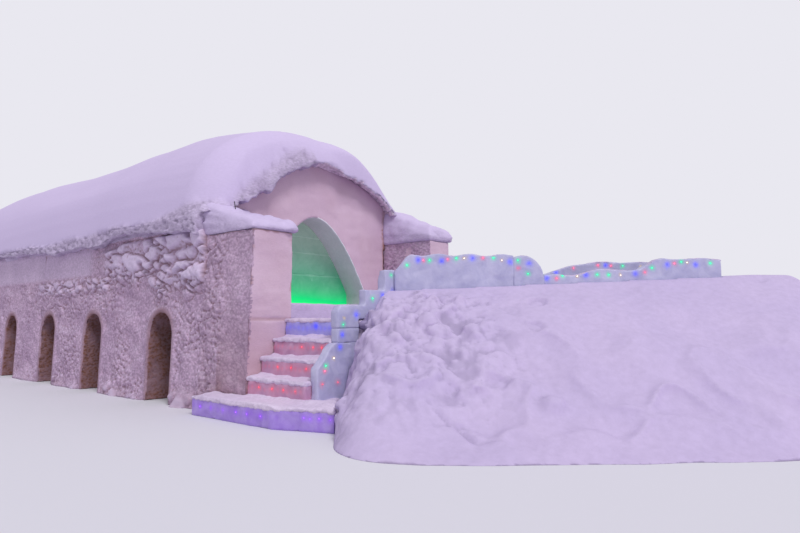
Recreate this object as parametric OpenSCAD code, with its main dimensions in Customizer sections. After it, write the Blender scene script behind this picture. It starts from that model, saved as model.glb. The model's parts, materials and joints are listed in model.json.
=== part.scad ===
// Snow hall with an ice stair, a raised landing and an ice-railed walkway on a packed-snow bank.
// Millimetres, +Z up. The origin is on the ground, under the middle of the front gable's wall.
// +Y runs back along the hall. The front gable looks along -Y, and the ice stair climbs along +X.

/* [Hall] */
// Width over the side walls at their feet
hall_w = 5880; // [5000:10:7200]
// Thickness of the left side wall at its foot
left_wall_t = 980; // [700:10:1300]
// Thickness of the right side wall at its foot
right_wall_t = 840; // [700:10:1300]
// Height of the side walls up to the springing of the vault
wall_h = 3400; // [2800:10:4100]
// How far a side wall's outer face leans in from foot to top
wall_batter = 100; // [0:5:160]
// Thickness of the front and rear gables
gable_t = 900; // [600:10:1200]
// Plain wall from the last doorway's centre to the rear gable
tail_len = 1400; // [900:10:2500]

/* [Doorways] */
// Width of a side doorway
door_w = 900; // [700:10:1200]
// Height of a side doorway to the crown of its round head
door_h = 1780; // [1500:10:2300]
// From the front gable's face to the first doorway's centre
door_first = 1540; // [1100:10:2500]
// From the first doorway to the second, centre to centre
door_gap_a = 3200; // [2400:10:3900]
// From the second doorway to the third, centre to centre
door_gap_b = 2780; // [2300:10:3400]
// Pitch of the doorways after the third
door_pitch = 2890; // [2300:10:3500]
// Doorways in each rear wall section
rear_doors = 3; // [1:1:4]
// From the third doorway's far jamb to the joint between the wall sections
joint_off = 140; // [80:10:600]

/* [Vault and roof snow] */
// How far the vault shell's outer face is set in from the side walls' feet at the springing
vault_set_in = 320; // [150:10:500]
// Height of the vault shell's outer crown
vault_crown = 5090; // [4700:10:6200]
// Thickness of the vault shell at the crown
vault_t = 500; // [300:10:700]
// Height of the roof snow's crown at the front lip
snow_crown = 5740; // [5500:10:6700]
// How much the roof snow's crown rises behind the front lip
snow_rise = 480; // [0:10:700]
// Length over which the roof snow rises
snow_rise_len = 3600; // [1500:50:6000]
// Length over which the roof snow sinks again before the rear gable
snow_sink_len = 5000; // [2000:50:7000]
// How far the roof snow's eaves stand out past the side walls' feet
snow_past = 190; // [60:10:500]
// How far the roof snow's crown has drifted towards the left eave
snow_drift = 400; // [0:10:600]
// How far the roof snow hangs below the wall tops, outside the walls
snow_hang = 110; // [40:5:200]
// How far the roof snow stands out past each gable
snow_lip = 360; // [150:10:500]

/* [Gable arch and ice screen] */
// Half width of the gable arch at its springing
arch_half_w = 1550; // [1000:10:1700]
// Height of the gable arch's crown above the ground
arch_crown = 3920; // [3500:10:4300]
// Height of the gable arch's springing above the ground
arch_spring = 2260; // [2050:10:2700]
// Offset of the gable arch from the middle of the hall, to the left
arch_shift = 120; // [0:10:300]
// Depth from the gable's face to the ice screen
screen_depth = 620; // [300:10:700]
// Height of the snow sill above the landing
sill_h = 330; // [150:10:500]
// How far the sill stands out in front of the gable
sill_out = 240; // [80:10:500]

/* [Cheek walls] */
// How far the cheek walls stand out in front of the gable
cheek_len = 1470; // [900:10:2200]
// How far the left cheek wall stays below the side walls' tops
left_cheek_drop = 165; // [20:5:600]
// How far the right cheek wall stands above the side walls' tops
right_cheek_over = 120; // [0:5:400]
// Thickness of the snow cap at the front of the left cheek wall
left_cap_t = 160; // [100:5:300]
// Thickness of the snow cap at the front of the right cheek wall
right_cap_t = 320; // [100:5:500]
// How much thicker the left cap grows towards the gable
left_cap_rise = 330; // [0:10:400]
// How much thicker the right cap grows towards the gable
right_cap_rise = 380; // [0:10:500]
// Diameter of the thin rod in the left cap
rod_d = 16; // [8:1:40]
// Length of the thin rod above the left cheek wall
rod_len = 660; // [300:10:900]
// How far the thin rod leans out, in degrees
rod_tilt = 12; // [0:1:20]

/* [Stair and landing] */
// Rise of one step
step_rise = 330; // [200:5:360]
// Going of the upper steps
step_going = 265; // [220:5:420]
// Going of the wide bottom step
first_going = 470; // [350:10:700]
// Thickness of an ice riser block
ice_t = 220; // [120:5:260]
// Thickness of the snow on each tread
tread_t = 40; // [30:5:120]
// Width of the flight from the cheek walls to the balustrade's outer face
flight_w = 1650; // [1300:10:2200]
// Thickness of the ice balustrade slabs and rails
rail_t = 160; // [100:5:220]
// How far the bottom step runs back beside the left side wall
first_back = 940; // [500:10:1300]
// How far the bottom step's splayed end reaches in front of the balustrade
first_front = 620; // [400:10:900]

/* [Walkway] */
// From the landing's left end to the corner where the walkway's rail starts
corner_run = 895; // [700:5:1200]
// Angle between the walkway and the front of the hall
run_turn = 45; // [35:1:55]
// Clear width of the walkway between its rails
run_w = 790; // [700:10:1200]
// Length of the tall landing rail
rail_len = 2120; // [1600:10:2600]
// Length of the rounded end slab
scroll_len = 560; // [400:10:800]
// Length of the low walkway rail
low_rail_len = 3290; // [2500:10:4500]
// Height of the tall rail above the landing
rail_h = 1140; // [900:10:1300]
// Length by which the rear rail starts behind the corner
rear_rail_start = 2450; // [1400:10:2600]

/* [Packed-snow bank] */
// Height of the bank's crest at the landing's corner
crest_h = 2170; // [1900:10:2500]
// Rise of the crest over the length of the rails
crest_rise = 270; // [0:10:500]
// Length of the bank's toe in front of the landing's corner
bank_toe = 970; // [600:10:1200]
// Crest length past the ends of the rails
bank_past = 1250; // [600:10:2500]
// Length of the bank's sloping far end
bank_end_len = 1700; // [1200:10:3000]
// Reach of the bank's front slope
bank_front_w = 3950; // [3000:10:5000]
// Reach of the bank's rear slope
bank_rear_w = 2400; // [1800:10:3500]
// Radius of the bank's rounded corners
bank_round = 1300; // [400:10:1700]

/* [Hidden] */
$fn = 48;
left_out = -hall_w / 2;
right_out = hall_w / 2;
left_in = left_out + left_wall_t;
right_in = right_out - right_wall_t;
mid_in = (left_in + right_in) / 2;
half_in = (right_in - left_in) / 2;

gable_y = -gable_t / 2;
door_y1 = gable_y + door_first;
door_y2 = door_y1 + door_gap_a;
door_y3 = door_y2 + door_gap_b;
FRONT_DOOR_Y = [door_y1, door_y2, door_y3];
REAR_DOOR_Y = [for (i = [1 : rear_doors]) door_y3 + i * door_pitch];
joint_y = door_y3 + door_w / 2 + joint_off;
rear_in_y = door_y3 + rear_doors * door_pitch + tail_len;
rear_out_y = rear_in_y + gable_t;

landing_z = 5 * step_rise;
sill_z = landing_z + sill_h;
cheek_y = gable_y - cheek_len;
rail_y = cheek_y - flight_w;
step_x2 = left_out + 40;
STEP_X = [step_x2 - first_going, step_x2, step_x2 + step_going,
          step_x2 + 2 * step_going, step_x2 + 3 * step_going];
landing_x = STEP_X[4] + ice_t;

screen_y = gable_y + screen_depth;
SCREEN_JOINT = [0.36, 0.62, 0.81];
left_cheek_h = wall_h - left_cheek_drop;
right_cheek_h = wall_h + right_cheek_over;
left_cap_z = left_cheek_h + left_cap_t + left_cap_rise;
right_cap_z = right_cheek_h + right_cap_t + right_cap_rise;

vault_half_w = hall_w / 2 - vault_set_in;
snow_half_w = hall_w / 2 + snow_past;
snow_front_y = gable_y - snow_lip;
snow_rear_y = rear_out_y + snow_lip;
snow_base = wall_h - snow_hang;
snow_left_power = 2.4;
snow_right_power = 1.75;
snow_sink_share = 0.4;
snow_steps = 28;

corner_x = landing_x + corner_run;
half_rail = rail_t / 2;
rear_rail_t = -(run_w + rail_t);
low_start = rail_len + scroll_len;
rails_end = low_start + low_rail_len;
bank_end = rails_end + bank_past + bank_end_len;
foot_t = 60;
arch_power = 1.75;
curve_n = 14;
far = 40000;

SNOW = "#d9d2e6";
ROOF = "#e6e2f0";
SMOOTH = "#dccbd4";
DEEP = "#d2c6de";
ICE = "#b9d4de";

// Value held between two limits
function clamp(v, low, high) = max(low, min(high, v));
// Smooth step from 0 to 1 as v goes from 0 to 1
function ease(v) = let (c = clamp(v, 0, 1)) c * c * (3 - 2 * c);
// Half ellipse from right to left, standing on height z
function half_ellipse(cx, half_w, rise, z, n) =
    [for (i = [0 : n]) [cx + half_w * cos(180 * i / n), z + rise * sin(180 * i / n)]];
// A list in reverse order
function reversed(list) = [for (i = [len(list) - 1 : -1 : 0]) list[i]];

// Outline in X and Z, drawn out along Y
module along_y(y_from, y_to) {
    translate([0, y_to, 0])
        rotate([90, 0, 0])
            linear_extrude(height = y_to - y_from)
                children();
}

// Side walls: battered cast snow with round-headed doorways cut through
module left_wall_outline() {
    polygon([[left_out, 0], [left_in, 0], [left_in, wall_h], [left_out + wall_batter, wall_h]]);
}

module right_wall_outline() {
    polygon([[right_in, 0], [right_out, 0], [right_out - wall_batter, wall_h], [right_in, wall_h]]);
}

module doorway(y) {
    head_r = door_w / 2;
    translate([-far / 2, y, 0])
        rotate([90, 0, 90])
            linear_extrude(height = far)
                union() {
                    translate([-head_r, -1])
                        square([door_w, door_h - head_r + 1]);
                    translate([0, door_h - head_r])
                        circle(r = head_r);
                }
}

module wall_section(y_from, y_to, door_places) {
    difference() {
        along_y(y_from, y_to) children();
        for (y = door_places) doorway(y);
    }
}

module left_wall_front() {
    color(SNOW) wall_section(gable_y, joint_y, FRONT_DOOR_Y) left_wall_outline();
}

module left_wall_rear() {
    color(SNOW) wall_section(joint_y, rear_out_y, REAR_DOOR_Y) left_wall_outline();
}

module right_wall_front() {
    color(SNOW) wall_section(gable_y, joint_y, FRONT_DOOR_Y) right_wall_outline();
}

module right_wall_rear() {
    color(SNOW) wall_section(joint_y, rear_out_y, REAR_DOOR_Y) right_wall_outline();
}

// Vault shell and the gables that close it
vault_rise = vault_crown - wall_h;
VAULT_OUT = half_ellipse(0, vault_half_w, vault_rise, wall_h, snow_steps);
VAULT_IN = half_ellipse(mid_in, half_in, vault_rise - vault_t, wall_h, snow_steps);

module vault_section(y_from, y_to) {
    along_y(y_from, y_to) polygon(concat(VAULT_OUT, reversed(VAULT_IN)));
}

module vault_front() {
    color(SMOOTH) vault_section(-gable_y, joint_y);
}

module vault_rear() {
    color(SMOOTH) vault_section(joint_y, rear_in_y);
}

module gable_outline() {
    polygon(concat([[left_in, 0], [right_in, 0], [right_in, wall_h]], VAULT_OUT, [[left_in, wall_h]]));
}

// Catenary-like arch on upright jambs, from the landing up
arch_rise = arch_crown - arch_spring;
ARCH = concat(
    [[arch_half_w, landing_z]],
    [for (i = [curve_n : -1 : -curve_n])
        let (u = i / curve_n) [arch_half_w * u, arch_spring + arch_rise * (1 - pow(abs(u), arch_power))]],
    [[-arch_half_w, landing_z]]);

module arch_outline() {
    translate([-arch_shift, 0]) polygon(ARCH);
}

module front_gable() {
    color(SMOOTH)
        difference() {
            along_y(gable_y, -gable_y) gable_outline();
            along_y(gable_y - 1, 1 - gable_y) arch_outline();
        }
}

module rear_gable() {
    color(SNOW) along_y(rear_in_y, rear_out_y) gable_outline();
}

// Snow sill in the arch, and the screen of ice courses that stands on it
module arch_sill() {
    color(ROOF)
        union() {
            along_y(gable_y, -gable_y)
                intersection() {
                    arch_outline();
                    translate([-far / 2, landing_z]) square([far, sill_h]);
                }
            along_y(gable_y - sill_out, gable_y)
                translate([-arch_shift, 0])
                    polygon([[-arch_half_w, landing_z], [arch_half_w, landing_z],
                             [arch_half_w - sill_h / 3, sill_z], [sill_h / 3 - arch_half_w, sill_z]]);
        }
}

screen_h = arch_crown - sill_z;
COURSE_Z = concat([sill_z], [for (share = SCREEN_JOINT) sill_z + share * screen_h], [arch_crown + 1]);

module screen_course(i) {
    color(i == 0 ? "#37e08a" : "#8fd6bd")
        along_y(screen_y, -gable_y)
            intersection() {
                arch_outline();
                translate([-far / 2, COURSE_Z[i]]) square([far, COURSE_Z[i + 1] - COURSE_Z[i]]);
            }
}

// Roof snow: a drifted blanket over the vault, lofted through rounded sections along Y
function signed_power(v, p) = sign(v) * pow(abs(v), p);
function snow_top(y) = snow_crown + snow_rise * ease((y - snow_front_y) / snow_rise_len)
    - snow_rise * snow_sink_share * ease((y - rear_in_y + snow_sink_len) / snow_sink_len);
function snow_ring(y, inset) = [for (i = [0 : snow_steps])
    let (a = 180 * i / snow_steps,
         right = cos(a) > 0,
         p = right ? snow_right_power : snow_left_power,
         reach = (right ? snow_half_w + snow_drift : snow_half_w - snow_drift) - inset,
         rise = snow_top(y) - inset - snow_base)
    [-snow_drift + reach * signed_power(cos(a), 2 / p), y, snow_base + rise * signed_power(sin(a), 2 / p)]];
lip_round = 300;
SNOW_LIP = [[0, 210], [70, 110], [170, 45], [lip_round, 0]];
snow_bays = 9;
snow_run = snow_rear_y - snow_front_y - 2 * lip_round;
SNOW_RINGS = concat(
    [for (s = SNOW_LIP) snow_ring(snow_front_y + s[0], s[1])],
    [for (i = [1 : snow_bays - 1]) snow_ring(snow_front_y + lip_round + snow_run * i / snow_bays, 0)],
    [for (s = reversed(SNOW_LIP)) snow_ring(snow_rear_y - s[0], s[1])]);

module loft(rings) {
    m = len(rings[0]);
    n = len(rings);
    points = [for (ring = rings) each ring];
    sides = [for (j = [0 : n - 2], i = [0 : m - 1])
        let (k = (i + 1) % m) [j * m + i, j * m + k, (j + 1) * m + k, (j + 1) * m + i]];
    front = [for (i = [m - 1 : -1 : 0]) i];
    back = [for (i = [0 : m - 1]) (n - 1) * m + i];
    polyhedron(points = points, faces = concat(sides, [front, back]), convexity = 6);
}

module snow_clear_of_cap(from_x, to_x, cap_z) {
    translate([from_x, snow_front_y - 10, 0])
        cube([to_x - from_x, snow_lip + 10, cap_z + 40]);
}

module roof_snow(y_from, y_to) {
    difference() {
        intersection() {
            loft(SNOW_RINGS);
            translate([-far / 2, y_from, 0]) cube([far, y_to - y_from, far]);
        }
        along_y(snow_front_y - 10, snow_rear_y + 10) gable_outline();
        along_y(gable_y, rear_out_y) left_wall_outline();
        along_y(gable_y, rear_out_y) right_wall_outline();
        snow_clear_of_cap(-far / 2, 0, left_cap_z);
        snow_clear_of_cap(0, far / 2, right_cap_z);
    }
}

module roof_snow_front() {
    color(ROOF) roof_snow(snow_front_y - 1, joint_y);
}

module roof_snow_rear() {
    color(ROOF) roof_snow(joint_y, snow_rear_y + 1);
}

// Cheek walls in front of the gable: a block up to the landing, a block above it and a snow cap
function lean(z) = wall_batter * z / wall_h;

module left_cheek(z_from, z_to) {
    along_y(cheek_y, gable_y)
        polygon([[left_out + lean(z_from), z_from], [left_in, z_from],
                 [left_in, z_to], [left_out + lean(z_to), z_to]]);
}

module right_cheek(z_from, z_to) {
    along_y(cheek_y, gable_y)
        polygon([[right_in, z_from], [right_out - lean(z_from), z_from],
                 [right_out - lean(z_to), z_to], [right_in, z_to]]);
}

module left_cheek_base() {
    color(SMOOTH) left_cheek(0, landing_z);
}

module left_cheek_top() {
    color(SMOOTH) left_cheek(landing_z, left_cheek_h);
}

module right_cheek_base() {
    color(SMOOTH) right_cheek(0, landing_z);
}

module right_cheek_top() {
    color(SMOOTH) right_cheek(landing_z, right_cheek_h);
}

// Rounded roll of snow on a cheek wall, with a flat underside, growing thicker towards the gable
module snow_cap(x_from, x_to, z, thick, rise) {
    round_in = thick * 0.45;
    slice = 10;
    module layer(inset, share) {
        span = x_to - x_from - 2 * inset;
        translate([x_from + inset, cheek_y + inset, z])
            cube([span, slice, thick * share]);
        translate([x_from + inset, gable_y - slice, z])
            cube([span, slice, (thick + rise) * share]);
    }
    hull() {
        layer(0, 0.3);
        layer(round_in * 0.4, 0.7);
        layer(round_in, 1);
    }
}

left_cap_x = left_out + lean(left_cheek_h);
rod_in = 445;
rod_front = 420;
rod_bury = 10;

module rod_line() {
    translate([left_cap_x + rod_in, gable_y - rod_front, left_cheek_h])
        rotate([0, -rod_tilt, 0])
            translate([0, 0, -rod_bury])
                cylinder(d = rod_d, h = rod_len + rod_bury);
}

module cap_rod() {
    color("#202024")
        difference() {
            rod_line();
            left_cheek(0, left_cheek_h);
        }
}

module left_cheek_cap() {
    color(ROOF)
        difference() {
            snow_cap(left_cap_x, left_in, left_cheek_h, left_cap_t, left_cap_rise);
            rod_line();
        }
}

module right_cheek_cap() {
    color(ROOF)
        snow_cap(right_in, right_out - lean(right_cheek_h), right_cheek_h, right_cap_t, right_cap_rise);
}

// Stair: ice riser blocks with snow treads on a packed-snow core
splay_share = 0.62;
bend_share = 0.55;
toe_x = STEP_X[0] + first_front * splay_share;
toe_y = rail_y - first_front;
bend_y = rail_y + first_front * bend_share;
side_back = left_out - 1;
side_front = cheek_y + first_back;
toe_back_x = toe_x + first_front;
FIRST_PLAN = [[STEP_X[0], side_front], [STEP_X[0], bend_y], [toe_x, toe_y],
              [toe_back_x, rail_y], [landing_x, rail_y], [landing_x, cheek_y],
              [side_back, cheek_y], [side_back, side_front]];
inner_x = STEP_X[0] + ice_t;
splay_turn = atan2(toe_x - STEP_X[0], bend_y - toe_y);
FIRST_INNER = [[inner_x, side_front + 1], [inner_x, bend_y],
               [toe_x + ice_t * cos(splay_turn), toe_y + ice_t * sin(splay_turn)],
               [toe_back_x + 1, rail_y + 1],
               [toe_back_x + 1, side_front + 1]];

module first_step_plan() {
    polygon(FIRST_PLAN);
}

module first_step_inner() {
    intersection() {
        polygon(FIRST_PLAN);
        union() {
            polygon(FIRST_INNER);
            translate([toe_back_x, rail_y]) square([far, flight_w + first_back]);
        }
    }
}

module step_1_ice() {
    color("#8d7fd0")
        linear_extrude(height = step_rise - tread_t)
            difference() {
                first_step_plan();
                first_step_inner();
            }
}

module riser(i, tone) {
    color(tone)
        translate([STEP_X[i], rail_y + rail_t, i * step_rise])
            cube([ice_t, flight_w - rail_t, step_rise - tread_t]);
}

module step_2_ice() {
    riser(1, "#d98aa6");
}

module step_3_ice() {
    riser(2, "#d98aa6");
}

module step_4_ice() {
    riser(3, "#d98aa6");
}

module step_5_ice() {
    riser(4, "#8fa0d8");
}

module stair_core() {
    color(DEEP)
        union() {
            linear_extrude(height = step_rise - tread_t) first_step_inner();
            for (i = [1 : 3])
                translate([STEP_X[i] + ice_t, rail_y + rail_t, step_rise - tread_t])
                    cube([landing_x - STEP_X[i] - ice_t, flight_w - rail_t, i * step_rise]);
        }
}

module step_treads() {
    color(ROOF)
        union() {
            translate([0, 0, step_rise - tread_t])
                linear_extrude(height = tread_t)
                    difference() {
                        first_step_plan();
                        translate([STEP_X[1] + ice_t, rail_y + rail_t]) square([far, flight_w - rail_t]);
                    }
            for (i = [1 : 3])
                translate([STEP_X[i], rail_y + rail_t, (i + 1) * step_rise - tread_t])
                    cube([STEP_X[i + 1] + ice_t - STEP_X[i], flight_w - rail_t, tread_t]);
            translate([STEP_X[4], rail_y + rail_t, landing_z - tread_t])
                cube([ice_t, flight_w - rail_t, tread_t]);
        }
}

module landing() {
    color(SNOW)
        linear_extrude(height = landing_z)
            polygon([[landing_x, rail_y], [right_out, rail_y], [right_out, cheek_y], [right_in, cheek_y],
                     [right_in, gable_y], [left_in, gable_y], [left_in, cheek_y], [landing_x, cheek_y]]);
}

// Balustrade beside the flight: ice slabs on edge, stepping up to the landing rail
module upright(y_front) {
    translate([0, y_front + rail_t, 0])
        rotate([90, 0, 0])
            linear_extrude(height = rail_t)
                children();
}

slab_len = 890;
course_len = 480;
slab_x = landing_x - slab_len;
slab_z = landing_z - 380;
course_x = landing_x - course_len;
course_z = landing_z - 150;

// Lowest slab, its top edge a wave that falls towards the foot of the flight
module balustrade_slab() {
    fall = (slab_z - step_rise) * 0.42;
    n = 8;
    color(ICE)
        upright(rail_y)
            polygon(concat(
                [[landing_x, step_rise], [landing_x, slab_z], [course_x, slab_z]],
                [for (i = [1 : n]) let (u = i / n)
                    [course_x + (slab_x - course_x) * u, slab_z - fall * pow(u, 1.3) + 30 * sin(360 * u)]],
                [[slab_x, step_rise]]));
}

module balustrade_course() {
    color(ICE)
        upright(rail_y)
            polygon([[course_x, slab_z], [landing_x, slab_z], [landing_x, course_z], [course_x, course_z]]);
}

// Blocks of the top course, stepping up towards the landing's corner
BLOCK_X = [0.16, 0.18, 0.70, 0.725];
BLOCK_H = [110, 210, 230, 490, 500, 860];

module balustrade_blocks() {
    function step_x(k) = landing_x + corner_run * BLOCK_X[k];
    function step_z(k) = landing_z + BLOCK_H[k];
    color(ICE)
        upright(rail_y)
            polygon([[course_x, course_z], [landing_x, course_z], [landing_x, landing_z],
                     [corner_x, landing_z], [corner_x, step_z(5)],
                     [step_x(3), step_z(5)], [step_x(2), step_z(4)],
                     [step_x(1), step_z(3)], [step_x(0), step_z(2)],
                     [course_x + 70, step_z(1)], [course_x, step_z(0)]]);
}

// Walkway: everything below is laid out along its front rail, from the landing's corner
module on_run() {
    translate([corner_x, rail_y, 0])
        rotate([0, 0, -run_turn])
            children();
}

// Slab on edge along the walkway, t in front of the front rail's middle plane
module run_slab(t) {
    on_run()
        translate([0, half_rail - t, 0])
            rotate([90, 0, 0])
                linear_extrude(height = rail_t)
                    children();
}

rail_top = landing_z + rail_h;
ripple = 20;
function tall_top(s) = rail_top + ripple * sin(360 * (s - 1200) / 570)
    - 290 * pow(1 - ease(s / 380), 2);
function low_top(s) = rail_top - 360 + 110 * ease((s - low_start - 400) / 600)
    + 210 * ease((s - low_start - 1680) / 520) + ripple * 0.8 * sin(360 * (s - low_start) / 900);
function rear_top(s) = rail_top - 310 + 290 * ease((s - rear_rail_start - 100) / 1500)
    + ripple * 0.7 * sin(360 * (s - rear_rail_start) / 760);

function rail_outline(from_s, to_s, tops) = concat([[from_s, landing_z]], tops, [[to_s, landing_z]]);

module landing_rail() {
    n = 22;
    color(ICE)
        run_slab(0)
            polygon(rail_outline(0, rail_len,
                [for (i = [0 : n]) let (s = rail_len * i / n) [s, tall_top(s)]]));
}

module rail_scroll() {
    n = 16;
    nose = scroll_len * 0.66;
    nose_h = rail_h * 0.46;
    color(ICE)
        run_slab(0)
            polygon(concat([[rail_len, landing_z], [rail_len, rail_top - 50]],
                [for (i = [0 : n]) let (a = 100 - 100 * i / n)
                    [low_start - nose + nose * cos(a), rail_top - nose_h + nose_h * sin(a)]],
                [[low_start, landing_z]]));
}

module walkway_rail_front() {
    n = 24;
    color(ICE)
        run_slab(0)
            polygon(rail_outline(low_start, rails_end,
                [for (i = [0 : n]) let (s = low_start + low_rail_len * i / n) [s, low_top(s)]]));
}

module walkway_rail_rear() {
    n = 24;
    span = rails_end - rear_rail_start;
    color(ICE)
        run_slab(rear_rail_t)
            polygon(rail_outline(rear_rail_start, rails_end,
                [for (i = [0 : n]) let (s = rear_rail_start + span * i / n) [s, rear_top(s)]]));
}

// Space in front of the landing, where the walkway and the bank lie
module clear_of_landing() {
    difference() {
        children();
        translate([-far / 2, rail_y, -1]) cube([far / 2 + right_out, far, far]);
    }
}

module walkway_floor() {
    color(ROOF)
        clear_of_landing()
            on_run()
                translate([-run_w, -half_rail, 0])
                    cube([rails_end + run_w, run_w + 2 * rail_t, landing_z]);
}

// Packed-snow bank: one smooth heap, cut into the pieces that lie round the walkway
bank_lump = 45;
function crest(s) = crest_h + crest_rise * clamp(s / rails_end, 0, 1.1);
function front_slope(u) = let (c = clamp(u, 0, 1)) 0.55 * (1 - c) + 0.45 * (0.5 + 0.5 * cos(180 * c));
function near_end(s) = 1 - pow(1 - clamp((s + bank_toe) / 1000, 0, 1), 3);
function far_end(s) = ease((bank_end - s) / bank_end_len);
function lump(s, t) = bank_lump * (sin(s * 0.31 + t * 0.09) + sin(t * 0.37 - s * 0.12));
front_foot_t = half_rail + bank_front_w;
rear_foot_t = rear_rail_t - half_rail - bank_rear_w;
// How far the rounded corners draw in the ends of the row at t
function pull(t) =
    let (over = max(0, t - front_foot_t + bank_round, rear_foot_t + bank_round - t))
    bank_round - sqrt(max(0, bank_round * bank_round - over * over));
// Height of the heap, t measured from the rails' middle plane towards the front
function heap(s, t) =
    let (side = t > half_rail ? (t - half_rail) / bank_front_w
             : t < rear_rail_t - half_rail ? (rear_rail_t - half_rail - t) / bank_rear_w : 0,
         near = near_end(s - pull(t)),
         past = far_end(s + pull(t)),
         inside = side > 0.02 && side < 0.98 && past > 0.05 ? 1 : 0,
         h = crest(s) * front_slope(side) * near * past)
    max(foot_t, h + inside * lump(s, t) * clamp(h / 900, 0, 1));

// Where a row of the heap starts: at the toe, or on the landing's front face
function row_start(t) = max(pull(t) - bank_toe, -t / tan(run_turn));
function row_end(t) = bank_end - pull(t);
function spread(a, b, n) = [for (i = [0 : n]) a + (b - a) * i / n];
// Strides that grow shorter towards b
function closing(a, b, n) = [for (i = [0 : n]) a + (b - a) * sin(90 * i / n)];

// Piece of the heap over rows at the given t, each from its own start to its own end in ns strides
module heap_piece(rows, starts, ns) {
    m = ns + 1;
    last = len(rows) - 1;
    top = [for (j = [0 : last], i = [0 : ns])
        let (s = starts[j] + (row_end(rows[j]) - starts[j]) * i / ns) [s, -rows[j], heap(s, rows[j])]];
    bottom = [for (p = top) [p[0], p[1], 0]];
    size = len(top);
    tops = [for (j = [0 : last - 1], i = [0 : ns - 1])
        each [[j * m + i, (j + 1) * m + i + 1, (j + 1) * m + i],
              [j * m + i, j * m + i + 1, (j + 1) * m + i + 1]]];
    rim = concat([for (i = [0 : ns]) i], [for (j = [1 : last]) j * m + ns],
                 [for (i = [ns - 1 : -1 : 0]) last * m + i], [for (j = [last - 1 : -1 : 1]) j * m]);
    walls = [for (k = [0 : len(rim) - 1])
        let (a = rim[k], b = rim[(k + 1) % len(rim)]) [b, a, a + size, b + size]];
    floors = [for (f = tops) [f[2] + size, f[1] + size, f[0] + size]];
    on_run()
        polyhedron(points = concat(top, bottom), faces = concat(tops, walls, floors), convexity = 6);
}

// Front piece, with a row where its toe leaves the landing's front face
kink_t = bank_toe * tan(run_turn);
FRONT_ROWS = concat(spread(half_rail, kink_t, 4),
    [for (t = closing(kink_t, front_foot_t, 13)) if (t > kink_t) t]);
REAR_ROWS = reversed(closing(rear_rail_t - half_rail, rear_foot_t, 11));
END_ROWS = spread(rear_rail_t - half_rail, half_rail, 4);

module bank_front() {
    color(SNOW) heap_piece(FRONT_ROWS, [for (t = FRONT_ROWS) row_start(t)], 30);
}

module bank_rear() {
    color(SNOW) heap_piece(REAR_ROWS, [for (t = REAR_ROWS) row_start(t)], 24);
}

module bank_end() {
    color(SNOW) heap_piece(END_ROWS, [for (t = END_ROWS) rails_end], 9);
}

left_wall_front();
left_wall_rear();
right_wall_front();
right_wall_rear();
front_gable();
rear_gable();
vault_front();
vault_rear();
roof_snow_front();
roof_snow_rear();
left_cheek_base();
left_cheek_top();
left_cheek_cap();
right_cheek_base();
right_cheek_top();
right_cheek_cap();
cap_rod();
arch_sill();
screen_course(0);  // screen_course_1
screen_course(1);  // screen_course_2
screen_course(2);  // screen_course_3
screen_course(3);  // screen_course_4
stair_core();
step_1_ice();
step_2_ice();
step_3_ice();
step_4_ice();
step_5_ice();
step_treads();
landing();
balustrade_slab();
balustrade_course();
balustrade_blocks();
landing_rail();
rail_scroll();
walkway_rail_front();
walkway_rail_rear();
walkway_floor();
bank_front();
bank_rear();
bank_end();
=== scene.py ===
"""Looks of a vaulted snow igloo hall: blown-snow walls, roof drift, ice screen, lit stair, railed walkway.

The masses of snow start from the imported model's own solids, fused into an even skin and then weathered: blown
crust, packed slabs, trowelled rings round the doorways and trodden tops. Only the bank follows a rule of its
own. Ice is cut from the same solids, with light points frozen into it. Lengths are metres.
"""

from __future__ import annotations

import itertools
import json
import logging
import math
from dataclasses import dataclass, field
from enum import Enum
from typing import Callable, ClassVar, Iterator, Sequence

import bmesh
import bpy
import numpy as np
from mathutils import Matrix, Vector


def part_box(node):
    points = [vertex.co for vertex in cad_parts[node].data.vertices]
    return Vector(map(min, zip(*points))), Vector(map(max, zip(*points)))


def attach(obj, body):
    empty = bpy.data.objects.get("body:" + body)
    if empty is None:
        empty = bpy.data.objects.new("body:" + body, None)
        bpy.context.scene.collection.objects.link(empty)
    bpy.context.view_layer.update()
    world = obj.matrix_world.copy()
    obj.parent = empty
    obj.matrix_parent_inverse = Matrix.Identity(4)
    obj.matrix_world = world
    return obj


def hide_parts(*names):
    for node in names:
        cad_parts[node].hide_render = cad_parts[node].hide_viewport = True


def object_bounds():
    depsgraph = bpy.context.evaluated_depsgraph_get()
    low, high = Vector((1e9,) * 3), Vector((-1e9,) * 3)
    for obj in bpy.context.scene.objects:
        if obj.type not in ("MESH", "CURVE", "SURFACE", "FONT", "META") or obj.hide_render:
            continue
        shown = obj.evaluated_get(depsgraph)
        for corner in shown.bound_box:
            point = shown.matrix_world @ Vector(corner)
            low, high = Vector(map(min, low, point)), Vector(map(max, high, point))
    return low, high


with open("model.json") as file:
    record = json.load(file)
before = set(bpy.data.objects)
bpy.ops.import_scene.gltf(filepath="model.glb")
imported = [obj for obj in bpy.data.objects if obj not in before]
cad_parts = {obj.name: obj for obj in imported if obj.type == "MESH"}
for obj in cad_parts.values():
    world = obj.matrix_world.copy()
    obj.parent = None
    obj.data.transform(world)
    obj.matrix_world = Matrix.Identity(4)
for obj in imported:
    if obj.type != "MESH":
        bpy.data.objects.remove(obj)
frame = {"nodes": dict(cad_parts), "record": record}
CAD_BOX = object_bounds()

LOG = logging.getLogger("igloo")
Mesh, Material, Piece = bpy.types.Mesh, bpy.types.Material, bpy.types.Object
Tree, Node, Socket = bpy.types.NodeTree, bpy.types.Node, bpy.types.NodeSocket
Rgba = tuple[float, float, float, float]
Points = np.ndarray
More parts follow.
